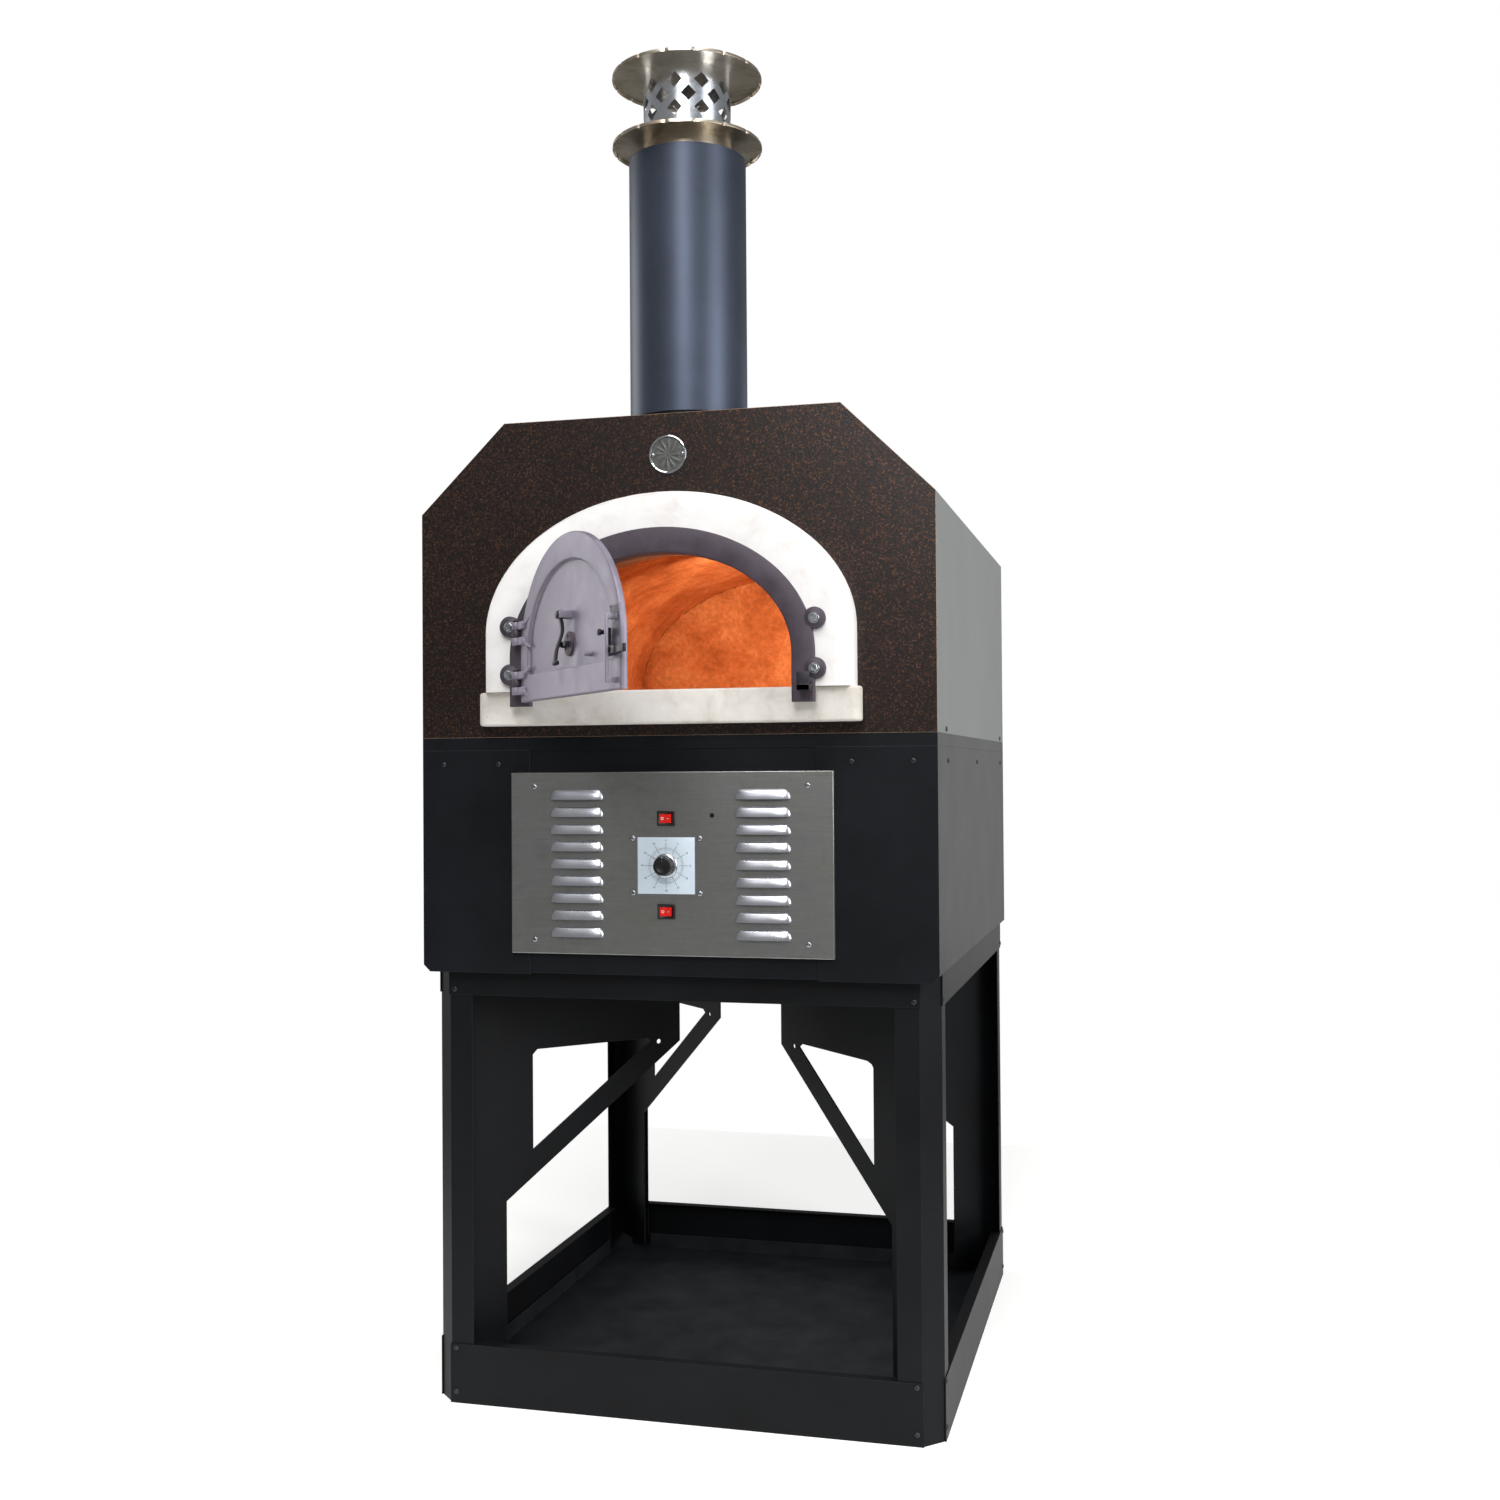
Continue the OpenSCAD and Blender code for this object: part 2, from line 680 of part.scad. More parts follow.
module insulation_board() {
    color("#c9c4b6") difference() {
        block([-vault_outer_hw, front_wall_y, hood_z],
            [vault_outer_hw, rear_wall_y + rear_wall_t, board_top]);
        burner_shaft(4);
        igniter_shaft(2);
    }
}

// Cast hearth. Its neck passes through the hood's front and ends in a wider lip.
module hearth_slab() {
    neck_hw = lip_hw - 15;
    color("#d8cfc0") difference() {
        union() {
            block([-vault_outer_hw, front_wall_y, board_top],
                [vault_outer_hw, rear_wall_y + rear_wall_t, hearth_z]);
            block([-neck_hw, front_y - cut, board_top], [neck_hw, front_wall_y + cut, hearth_z]);
            block([-lip_hw, lip_y, board_top - lip_drop], [lip_hw, front_y - 0.2, hearth_z]);
        }
        burner_shaft(2);
        igniter_shaft(2);
    }
}

module mouth_outline(grow) {
    polygon(arch(mouth_hw + grow, hearth_z - cut, hearth_z + mouth_side, hearth_z + mouth_h + grow));
}

// Outline of the arch, drawn in by inset all round.
module surround_outline(inset) {
    polygon(arch(surround_hw - inset, hearth_z, hearth_z + surround_side, hearth_z + surround_h - inset));
}

module bolt_bores(extra) {
    for (sx = [-1, 1], z = ear_z)
        rod_y(sx * (mouth_hw + frame_w), hearth_z + z, bolt_r + extra, frame_front_y - cut, surround_y + 30);
}

// White cast arch: a square edge, a bevel in three steps, and a spigot through the hood's front.
module arch_surround() {
    steps = 4;
    edge_y = front_y - surround_edge;
    color("#e9e5dc") difference() {
        union() {
            along_y(front_y - 0.2 - surround_edge, front_y - 0.2) surround_outline(0);
            for (i = [1:steps]) {
                share = i / steps;
                along_y(edge_y - (surround_proud - surround_edge) * share, edge_y)
                    surround_outline(surround_bevel * share);
            }
            along_y(front_y - cut, front_wall_y - 0.2) surround_outline(30);
        }
        along_y(surround_y - cut, front_wall_y + cut) mouth_outline(8);
        bolt_bores(0);
    }
}

// Barrel vault with its front wall, cast in one, open underneath.
module vault_shell() {
    color("#c98a55") difference() {
        along_y(front_wall_y, rear_wall_y)
            polygon(arch(vault_outer_hw, hearth_z, vault_spring, vault_top + vault_t));
        along_y(front_wall_y + front_wall_t, rear_wall_y + cut)
            polygon(arch(vault_inner_hw, hearth_z - cut, vault_spring, vault_top));
        along_y(front_wall_y - cut, front_wall_y + front_wall_t + cut) mouth_outline(8);
        on_flue() translate([0, 0, vault_top - 60]) cylinder(r = flue_r + 1, h = 200);
    }
}

module rear_wall() {
    color("#c07f4b") along_y(rear_wall_y, rear_wall_y + rear_wall_t)
        polygon(arch(vault_outer_hw, hearth_z, vault_spring, vault_top + vault_t));
}

// Ceramic fibre blanket over the vault and down its back.
module insulation_blanket() {
    crown = vault_top + vault_t;
    rear = hd - sheet_t - 1;
    color("#efece4") difference() {
        along_y(front_wall_y + 10, rear)
            polygon(arch(vault_outer_hw + blanket_t, hood_z, vault_spring, crown + blanket_t));
        along_y(front_wall_y, rear_wall_y + rear_wall_t + fit_gap)
            polygon(arch(vault_outer_hw + fit_gap, hood_z - cut, vault_spring, crown + fit_gap));
        on_flue() translate([0, 0, vault_top]) cylinder(r = flue_r + 4, h = 200);
    }
}

module hood_outline(inset) {
    slope = atan2(shoulder_h, shoulder_w);
    side_drop = inset * tan((90 - slope) / 2);
    top_drop = inset * tan(slope / 2);
    polygon([[-hw + inset, hood_z], [-hw + inset, shoulder_z - side_drop],
        [-hw + shoulder_w + top_drop, hood_top - inset], [hw - shoulder_w - top_drop, hood_top - inset],
        [hw - inset, shoulder_z - side_drop], [hw - inset, hood_z]]);
}

module hood_front() {
    color("#3a2a22") difference() {
        along_y(front_y, front_y + sheet_t) hood_outline(0);
        along_y(front_y - cut, front_y + 5) {
            surround_outline(29.5);
            translate([-lip_hw + 14.5, board_top - 0.5]) square([2 * lip_hw - 29, slab_t + 1]);
        }
        rod_y(0, hood_top - 70, 2.2, front_y - cut, front_y + 5);
    }
}

module hood_skin() {
    color("#8b8f8d") difference() {
        along_y(front_y + sheet_t, hd - sheet_t) hood_outline(0);
        along_y(front_y, hd) translate([0, -cut]) hood_outline(sheet_t);
        along_y(front_y, hd) translate([-hw + sheet_t, hood_z - cut]) square([2 * (hw - sheet_t), 40]);
        on_flue() translate([0, 0, hood_top - 20]) cylinder(r = flue_r + 10, h = 40);
        screw_bores();
    }
}

module hood_rear() {
    color("#7f8381") along_y(hd - sheet_t, hd) hood_outline(0);
}

// Plain round badge with a raised rim, on a short stud.
module badge() {
    z = hood_top - 70;
    color("#b5b5b2") {
        difference() {
            rod_y(0, z, badge_r, front_y - 4.1, front_y - 0.1);
            rod_y(0, z, badge_r - 4, front_y - 5, front_y - 2.6);
        }
        rod_y(0, z, 2, front_y - 1, front_y + 8);
    }
}

// ---------- flue ----------

// Dark ring on the hood that centres the sleeve.
module flue_collar() {
    top = sleeve_z + 24;
    ring_r = sleeve_r - flue_t - fit_gap;
    color("#191a1c") on_flue() {
        tube(ring_r, 2, hood_top, top);
        tube(ring_r + 16, 36, hood_top + 0.1, hood_top + 2);
    }
}

module inner_flue() {
    color("#9c9fa2") on_flue() tube(flue_r, flue_t, vault_top + 20, disc_z - 6);
}

module outer_sleeve() {
    color("#3b404a") on_flue() tube(sleeve_r, flue_t, sleeve_z, sleeve_top);
}

// Lower disc of the cap, with a collar that slips over the inner flue.
module cap_base() {
    collar_r = flue_r + fit_gap + flue_t;
    color("#8d8f90") on_flue() {
        tube(collar_r, flue_t, disc_z - 46, disc_z + cut);
        tube(disc_r, disc_r - flue_r + 2, disc_z, disc_z + flue_t);
        tube(disc_r, flue_t, disc_z - 5, disc_z + cut);
    }
}

module cap_screen() {
    low = disc_z + flue_t;
    color("#c8cacc") on_flue() difference() {
        tube(screen_r, 1, low, low + cap_h);
        for (row = [0:2], i = [0:screen_n - 1])
            rotate((i + row / 2) * 360 / screen_n) translate([0, -screen_r, cap_top_z - 30 - row * screen_row])
                rotate([0, 45, 0]) cube([diamond / sqrt(2), 30, diamond / sqrt(2)], center = true);
    }
}

module cap_top_disc() {
    color("#8d8f90") on_flue() {
        translate([0, 0, cap_top_z]) cylinder(r = disc_r, h = flue_t);
        tube(disc_r, flue_t, cap_top_z - 5, cap_top_z + cut);
    }
}

// ---------- mouth ----------

// Keeper for the latch: a block on the frame's right leg with an upright lip in front.
module keeper() {
    x0 = mouth_hw + 15;
    x1 = mouth_hw + 36;
    low = hearth_z - 3;
    block([x0, frame_front_y - 9, low], [x1, frame_front_y + cut, low + 10]);
    block([x0, frame_front_y - 29, low - 6], [x1, frame_front_y - 8, low + 4]);
    block([x0, frame_front_y - 29, low - 6], [x1, frame_front_y - 24, low + 24]);
}

module door_frame() {
    outer_hw = mouth_hw + frame_w;
    foot_z = hearth_z - frame_foot;
    lug_half = 6;
    color("#4b444e") {
        difference() {
            union() {
                along_y(frame_front_y, surround_y - slip) {
                    polygon(arch(outer_hw, foot_z, hearth_z + mouth_side,
                        hearth_z + mouth_h + frame_crown_w));
                    for (sx = [-1, 1], z = ear_z) translate([sx * outer_hw, hearth_z + z]) circle(r = ear_r);
                }
                along_y(surround_y - 1, surround_y + 24) mouth_outline(5);
            }
            along_y(frame_front_y - cut, surround_y + 25) mouth_outline(0);
            block([-outer_hw, surround_y - 0.05, foot_z - 1], [outer_hw, surround_y + 25, hearth_z + 0.3]);
            block([-mouth_hw, frame_front_y - cut, foot_z - cut],
                [mouth_hw, surround_y + 25, hearth_z + cut]);
            bolt_bores(0);
        }
        keeper();
        for (z = hinge_z) difference() {
            union() {
                block([hinge_x - knuckle_r, hinge_y, hearth_z + z - lug_half],
                    [hinge_x + 4, frame_front_y + cut, hearth_z + z + lug_half]);
                translate([hinge_x, hinge_y, hearth_z + z - lug_half]) cylinder(r = knuckle_r, h = 2 * lug_half);
            }
            translate([hinge_x, hinge_y, hearth_z + z - 20]) cylinder(r = hinge_pin_r, h = 40);
        }
    }
}

module hinge_pins() {
    color("#6b6670") for (z = hinge_z) translate([hinge_x, hinge_y, hearth_z + z]) {
        translate([0, 0, -21]) cylinder(r = hinge_pin_r, h = 42);
        translate([0, 0, 20]) cylinder(r = hinge_pin_r + 2, h = 3);
    }
}

module frame_bolts() {
    head = 5.5;
    color("#b7b8ba") for (sx = [-1, 1], z = ear_z)
        translate([sx * (mouth_hw + frame_w), frame_front_y, hearth_z + z]) {
            rod_y(0, 0, bolt_r, -cut, frame_t + 26);
            rod_y(0, 0, 9, -1.5, 0);
            rotate([90, 0, 0]) cylinder(r = 7, h = head, $fn = 6);
        }
}

// ---------- door, drawn closed and swung open about its hinge ----------

door_hw = mouth_hw + door_lap;
door_low = hearth_z - door_foot;
door_spring = hearth_z + mouth_side;
door_top = hearth_z + mouth_h + door_lap;
vent_z = hearth_z + 61;
latch_x = door_hw - 33;
latch_z = hearth_z + 37;
handle_z = hearth_z + 106;
handle_l = 74;
handle_out = 16;
bar_x = door_hw - 20;

module door_knuckles() {
    for (z = hinge_z, s = [-1, 1]) {
        z0 = hearth_z + z + s * 13 - 6.5;
        translate([hinge_x, hinge_y, z0]) cylinder(r = knuckle_r, h = 13);
        block([hinge_x, hinge_y - 2, z0], [hinge_x + hinge_out + strap_l, door_back_y - 1, z0 + 13]);
    }
}

// Guide for the latch: an upright bar on two feet in front of the door.
module latch_guide() {
    for (z = [latch_z - 47, latch_z + 43])
        block([bar_x - 4, door_front_y - 14, z], [bar_x + 4, door_front_y + cut, z + 8]);
    block([bar_x - 3, door_front_y - 17, latch_z - 47], [bar_x + 3, door_front_y - 12, latch_z + 51]);
}

// The cast leaf: a raised border and foot strip round a recessed field.
module door_leaf() {
    b = door_border;
    strip_z = door_low + door_strip;
    difference() {
        along_y(door_front_y, door_back_y) polygon(arch(door_hw, door_low, door_spring, door_top));
        along_y(door_front_y - cut, field_y) difference() {
            polygon(arch(door_hw - b, strip_z, door_spring, door_top - b - 6));
            translate([latch_x - 16, strip_z - 1]) square([60, latch_z + 66 - strip_z]);
        }
    }
}

// Studs that the latch and the vent turn on, a rest stud, and the lugs and pin of the handle.
module door_studs() {
    rod_y(latch_x, latch_z, 3, door_front_y - 9, door_front_y + cut);
    rod_y(latch_x, latch_z, 6, door_front_y - 12, door_front_y - 9);
    rod_y(0, vent_z, 3, field_y - 5, field_y + cut);
    rod_y(95, vent_z - 22, 3.5, field_y - 12, field_y + cut);
    for (sx = [-1, 1]) block([sx * 9 - 2.5, field_y - handle_out - 5, handle_z - 6],
        [sx * 9 + 2.5, field_y + cut, handle_z + 6]);
    translate([-11, field_y - handle_out, handle_z]) rotate([0, 90, 0]) cylinder(r = 2.5, h = 22);
}

module door() {
    color("#6a6470") swung_door() difference() {
        union() {
            door_leaf();
            door_studs();
            latch_guide();
            door_knuckles();
        }
        for (z = hinge_z) translate([hinge_x, hinge_y, hearth_z + z]) {
            translate([0, 0, -30]) cylinder(r = hinge_pin_r + slip, h = 60);
            translate([0, 0, -6.5]) cylinder(r = knuckle_r + 1, h = 13);
        }
        for (a = [90, 210, 330])
            rod_y(11 * cos(a), vent_z + 11 * sin(a), 5, door_front_y, door_back_y + cut);
    }
}

// Profile of the drop handle: distance from the pivot outwards against height below it.
function handle_path(s) = [-3 * sin(360 * s) + 9 * pow(s, 3), -6 - (handle_l - 6) * s];

module drop_handle() {
    n = 14;
    half_t = 2.5;
    left = [for (i = [0:n]) handle_path(i / n) + [half_t, 0]];
    right = [for (i = [n:-1:0]) handle_path(i / n) - [half_t, 0]];
    color("#57515d") swung_door() translate([0, field_y - handle_out, handle_z]) difference() {
        union() {
            rotate([90, 0, -90]) translate([0, 0, -6]) linear_extrude(12) polygon(concat(left, right));
            translate([-6, 0, 0]) rotate([0, 90, 0]) cylinder(r = 7, h = 12);
            translate([-8, -8, -handle_l - 1]) rotate([0, 90, 0]) cylinder(r = 4, h = 16);
        }
        translate([-7, 0, 0]) rotate([0, 90, 0]) cylinder(r = 2.5 + slip, h = 14);
    }
}

// Latch: a tongue that reaches past the door's edge and drops behind the keeper's lip.
module latch_lever() {
    y0 = door_front_y - 8;
    y1 = door_front_y - 3;
    color("#57515d") swung_door() difference() {
        union() {
            block([latch_x, y0, latch_z - 6], [mouth_hw + 37, y1, latch_z + 6]);
            block([latch_x - 13, y0, latch_z - 8], [latch_x + 3, y1, latch_z + 32]);
            rod_y(latch_x, latch_z, 9, y0, y1);
            rod_y(latch_x - 8, latch_z + 26, 5, y0 - 12, y1);
        }
        rod_y(latch_x, latch_z, 3 + slip, y0 - 1, y1 + 1);
    }
}

// Round vent shutter with three ports and a knob wound from spring wire.
module vent_shutter() {
    y0 = field_y - 4;
    color("#625c68") swung_door() difference() {
        union() {
            rod_y(0, vent_z, 19, y0, field_y - fit_gap);
            translate([-6, y0 - 5, vent_z - 1]) rotate([0, -90, 0]) cylinder(r1 = 5.5, r2 = 2.5, h = 22);
            block([-7, y0 - 7, vent_z - 4], [7, y0 + cut, vent_z + 4]);
        }
        rod_y(0, vent_z, 3 + slip, field_y - 7, field_y + 1);
        for (a = [90, 210, 330]) rod_y(11 * cos(a), vent_z + 11 * sin(a), 4, y0 - 1, field_y + 1);
    }
}

// ---------- fasteners ----------

module pan_screws() {
    color("#6e7276") for (s = screws) translate([s[0], s[1], s[2]]) rotate(s[3]) {
        rod_y(0, 0, screw_head_r, -2.4, 0);
        rod_y(0, 0, screw_r, -cut, screw_l);
    }
}

wood_tray();
post_front_left();
post_front_right();
post_rear_left();
post_rear_right();
rail_bottom_front();
rail_bottom_rear();
rail_bottom_left();
rail_bottom_right();
rail_top_front();
rail_top_rear();
rail_top_left();
rail_top_right();
gusset_front_left();
gusset_front_right();
gusset_rear_left();
gusset_rear_right();
bay_floor();
hearth_deck();
wrap_left();
wrap_right();
front_fascia();
rear_cover();
control_panel();
dial_plate();
timer_body();
timer_knob();
switch_bodies();
main_switch_rocker();
burner_switch_rocker();
control_module();
gas_valve();
gas_pipe();
burner();
igniter();
insulation_board();
hearth_slab();
arch_surround();
vault_shell();
rear_wall();
insulation_blanket();
hood_front();
hood_skin();
hood_rear();
flue_collar();
inner_flue();
outer_sleeve();
cap_base();
cap_screen();
cap_top_disc();
door_frame();
door();
hinge_pins();
drop_handle();
latch_lever();
vent_shutter();
badge();
pan_screws();
frame_bolts();
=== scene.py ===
import math
import bmesh
import bpy
from mathutils import Matrix, Vector, noise


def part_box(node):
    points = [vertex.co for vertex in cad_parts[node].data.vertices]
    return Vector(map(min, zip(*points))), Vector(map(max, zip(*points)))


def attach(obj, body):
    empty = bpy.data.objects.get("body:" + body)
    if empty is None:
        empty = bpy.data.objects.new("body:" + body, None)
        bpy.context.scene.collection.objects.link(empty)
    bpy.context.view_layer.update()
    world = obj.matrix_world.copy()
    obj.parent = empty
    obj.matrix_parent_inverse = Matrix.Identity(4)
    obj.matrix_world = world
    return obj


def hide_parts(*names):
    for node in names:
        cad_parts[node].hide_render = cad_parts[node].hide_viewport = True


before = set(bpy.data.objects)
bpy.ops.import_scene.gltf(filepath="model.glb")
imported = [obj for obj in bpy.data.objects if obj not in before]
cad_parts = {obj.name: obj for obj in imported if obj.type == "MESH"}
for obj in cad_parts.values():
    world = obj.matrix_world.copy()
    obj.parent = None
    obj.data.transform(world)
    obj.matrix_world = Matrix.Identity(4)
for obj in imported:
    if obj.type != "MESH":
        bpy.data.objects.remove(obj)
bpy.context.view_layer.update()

# Studio: a small pale floor that glows faintly under a white surround, with large soft boxes at
# the front, overhead, at both sides and behind on the right. A small warm lamp hangs in the vault.
MM = 0.001
LENS_MM = 39.25
SENSOR_MM = 36.0
CAMERA_PLACE = Vector((0.8198, -3.1507, 1.0990))
YAW, PITCH, ROLL = (math.radians(a) for a in (14.5, 0.8, -0.4))
FLOOR_HALF_M = 1.7


def linear(code):
    """A hex sRGB colour as linear red, green, blue and alpha."""
    parts = [int(code[i:i + 2], 16) / 255 for i in (1, 3, 5)]
    return [c / 12.92 if c <= 0.04045 else ((c + 0.055) / 1.055) ** 2.4 for c in parts] + [1.0]


def add(tree, kind, inputs=None, stops=None, **settings):
    """Adds a node with its settings. An input is a value or another node's output."""
    made = tree.nodes.new("ShaderNode" + kind)
    for name, value in settings.items():
        setattr(made, name, value)
    for name, value in (inputs or {}).items():
        if isinstance(value, bpy.types.NodeSocket):
            tree.links.new(value, made.inputs[name])
        else:
            made.inputs[name].default_value = value
    if stops:
        elements = made.color_ramp.elements
        for element, (place, code) in zip((elements[0], elements[-1]), (stops[0], stops[-1])):
            element.position = place
            element.color = linear(code)
        for place, code in stops[1:-1]:
            elements.new(place).color = linear(code)
    return made


def new_material(name, **values):
    """A material with a Principled shader, its constants set on the shader's own sockets."""
    material = bpy.data.materials.new(name)
    material.use_nodes = True
    tree = material.node_tree
    shader = tree.nodes["Principled BSDF"]
    for key, value in values.items():
        shader.inputs[key.replace("_", " ")].default_value = value
    return material, tree, shader


def feed(shader, **outputs):
    """Links nodes' outputs to the shader's inputs of the same names."""
    for key, output in outputs.items():
        shader.id_data.links.new(output, shader.inputs[key.replace("_", " ")])


def aim_camera():
    forward = Vector((-math.sin(YAW) * math.cos(PITCH), math.cos(YAW) * math.cos(PITCH), math.sin(PITCH)))
    level = Vector((math.cos(YAW), math.sin(YAW), 0))
    upright = level.cross(forward)
    right = level * math.cos(ROLL) + upright * math.sin(ROLL)
    up = upright * math.cos(ROLL) - level * math.sin(ROLL)
    data = bpy.data.cameras.new("camera")
    data.lens = LENS_MM
    data.sensor_width = SENSOR_MM
    camera = bpy.data.objects.new("camera", data)
    bpy.context.scene.collection.objects.link(camera)
    turn = Matrix((right, up, -forward)).transposed()
    camera.matrix_world = Matrix.Translation(CAMERA_PLACE) @ turn.to_4x4()
    bpy.context.scene.camera = camera


def soft_box(name, place, target, size, watts, tint="#ffffff"):
    data = bpy.data.lights.new(name, "AREA")
    data.shape = "RECTANGLE"
    data.size, data.size_y = size
    data.energy = watts
    data.color = linear(tint)[:3]
    light = bpy.data.objects.new(name, data)
    bpy.context.scene.collection.objects.link(light)
    light.visible_camera = False
    light.location = place
    light.rotation_euler = (Vector(target) - Vector(place)).to_track_quat("-Z", "Y").to_euler()


def lay_floor():
    half = FLOOR_HALF_M
    mesh = bpy.data.meshes.new("floor")
    corners = [(sx * half, sy * half, 0) for sx, sy in ((-1, -1), (1, -1), (1, 1), (-1, 1))]
    mesh.from_pydata(corners, [], [(0, 1, 2, 3)])
    floor = bpy.data.objects.new("floor", mesh)
    bpy.context.scene.collection.objects.link(floor)
    material, *_ = new_material("matt_studio_floor", Base_Color=linear("#f1f1ef"), Roughness=0.8,
                                Emission_Color=linear("#ffffff"), Emission_Strength=0.45)
    mesh.materials.append(material)


def light_world():
    world = bpy.data.worlds.new("white_surround")
    bpy.context.scene.world = world
    world.use_nodes = True
    tree = world.node_tree
    tree.nodes.clear()
    seen = add(tree, "LightPath").outputs["Is Camera Ray"]
    strength = add(tree, "MapRange", {"Value": seen, "To Min": 0.20, "To Max": 1.0}).outputs["Result"]
    sky = add(tree, "Background", {"Color": linear("#ffffff"), "Strength": strength})
    add(tree, "OutputWorld", {"Surface": sky.outputs["Background"]})


aim_camera()
light_world()
lay_floor()
soft_box("front_box", (0.5, -4.3, 3.4), (0, -0.3, 1.3), (1.2, 1.6), 84)
soft_box("right_box", (3.6, -1.6, 2.2), (0, 0, 1.2), (1.6, 2.6), 95)
soft_box("top_box", (0.3, -2.3, 4.5), (0, -0.4, 1.1), (2.6, 2.2), 80)
soft_box("left_box", (-3.4, 0.8, 2.0), (0, 0, 1.2), (1.6, 2.6), 45)
soft_box("rear_right_box", (1.7, 3.0, 1.4), (0.4, 0, 1.1), (1.4, 2.4), 14)
soft_box("vault_lamp", (0.10, -0.02, 1.47), (0.02, 0.42, 1.28), (0.30, 0.12), 2.8, "#ffd9b0")
bpy.context.scene.view_settings.view_transform = "Standard"

# Stand: posts, rails, gussets, the wood tray and the bay floor, folded and cut from 2 and 3 mm
# steel sheet and bolted together. Baked matt black powder: a fine orange peel, a soft grey
# sheen, and edges a touch lighter, partly wear where handling has polished them and partly a
# painted highlight along the bends.
STAND_NODES = [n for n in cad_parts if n.startswith(("post_", "rail_", "gusset_"))]
FOLD_RADIUS = 1.5 * MM


def object_space(tree):
    return add(tree, "TexCoord").outputs["Object"]


def worn_edges(tree, radius):
    """How near a point is to a bent or cut edge, from 0 to 1, and the normal of the rounded edge."""
    rounded = add(tree, "Bevel", {"Radius": radius}, samples=4).outputs["Normal"]
    true = add(tree, "NewGeometry").outputs["Normal"]
    match = add(tree, "VectorMath", {0: rounded, 1: true}, operation="DOT_PRODUCT").outputs["Value"]
    near = add(tree, "MapRange", {"Value": match, "From Min": 0.995, "From Max": 0.85}).outputs["Result"]
    return near, rounded


def powder_coat(name, dark, light, edge, sheen, peel_mm, peel_height_mm, patch_mm=160):
    """Baked powder or stoved paint on steel sheet."""
    material, tree, shader = new_material(name, IOR=1.5, Specular_IOR_Level=0.16)
    here = object_space(tree)
    patches = add(tree, "TexNoise", {"Vector": here, "Scale": 1 / (patch_mm * MM), "Detail": 5.0,
                                     "Roughness": 0.6})
    tone = add(tree, "ValToRGB", {"Fac": patches.outputs["Fac"]}, [(0.32, dark), (0.68, light)])
    # Edges are mixed towards a paler colour: partly wear from handling, partly a painted highlight along
    # bends.
    near, rounded = worn_edges(tree, FOLD_RADIUS)
    speck = add(tree, "TexNoise", {"Vector": here, "Scale": 1 / (3.5 * MM), "Detail": 2.0}).outputs["Fac"]
    edge_lightening = add(tree, "Math", {0: near, 1: speck}, operation="MULTIPLY").outputs["Value"]
    mixed = add(tree, "Mix", {"Factor": edge_lightening, 6: tone.outputs["Color"], 7: linear(edge)}, data_type="RGBA")
    gloss = add(tree, "MapRange", {"Value": patches.outputs["Fac"], "From Min": 0.3, "From Max": 0.7,
                                   "To Min": sheen - 0.02, "To Max": sheen + 0.02})
    peel = add(tree, "TexNoise", {"Vector": here, "Scale": 1 / (peel_mm * MM), "Detail": 3.0})
    bump = add(tree, "Bump", {"Strength": 0.6, "Distance": peel_height_mm * MM,
                              "Height": peel.outputs["Fac"], "Normal": rounded})
    feed(shader, Base_Color=mixed.outputs[2], Roughness=gloss.outputs["Result"],
         Normal=bump.outputs["Normal"])
    return material


def dress(material, *pieces):
    """Gives one material to pieces, or to CAD nodes by name."""
    for piece in pieces:
        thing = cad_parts[piece] if isinstance(piece, str) else piece
        thing.data.materials.clear()
        thing.data.materials.append(material)


stand_coat = powder_coat("black_powder_coat_on_steel", "#0c0d0f", "#121417", "#3a3d42", 0.50, 2.2, 0.05)
tray_coat = powder_coat("black_powder_coat_dusty_tray", "#1b1d20", "#2c2f33", "#45494f", 0.56, 2.2, 0.05, 90)
dress(stand_coat, *STAND_NODES, "bay_floor")
dress(tray_coat, "wood_tray")

# Lower casing: the deck under the hood, two wrapped side panels, the sheet behind the controls
# and the louvred rear cover, in 1.5 mm steel. Satin black paint with a blue cast and a fine
# texture that scatters the light softly.
casing_coat = powder_coat("satin_black_casing_paint", "#0f1114", "#16191d", "#3b4048", 0.44, 2.6, 0.06)
dress(casing_coat, "hearth_deck", "wrap_left", "wrap_right", "front_fascia", "rear_cover")

# Control panel: a tray folded from 2 mm stainless sheet, with two columns of pressed louvres
# that open downwards, two switch cut-outs, a spindle hole and a sight hole. Brushed across and
# handled, so it has fine level lines and cloudy smears. The louvres get a much paler copy of the
# same steel: a painted highlight on their backs.
PANEL_LOW, PANEL_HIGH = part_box("control_panel")
PANEL_T = 2 * MM
FLAT_AREA = 4e-4
LOUVRE_N = 9
LOUVRE_PITCH = 29.1 * MM
LOUVRE_X = 163 * MM
LOUVRE_HALF_W = 48 * MM
LOUVRE_HALF_H = 8.5 * MM
LOUVRE_PROUD = 8 * MM
PANEL_FACE = PANEL_LOW.y + LOUVRE_PROUD
PANEL_MID_Z = (PANEL_LOW.z + PANEL_HIGH.z) / 2
DIAL_LOW, DIAL_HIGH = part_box("dial_plate")
DIAL_X = (DIAL_LOW.x + DIAL_HIGH.x) / 2
DIAL_Z = (DIAL_LOW.z + DIAL_HIGH.z) / 2
SWITCH_LOW, SWITCH_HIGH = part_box("switch_bodies")
SWITCH_W = SWITCH_HIGH.x - SWITCH_LOW.x
SWITCH_H = 25 * MM
SWITCH_ZS = (SWITCH_HIGH.z - SWITCH_H / 2, SWITCH_LOW.z + SWITCH_H / 2)
SIGHT_X = 76 * MM
SIGHT_Z = DIAL_Z + 84 * MM
SIGHT_R = 4 * MM


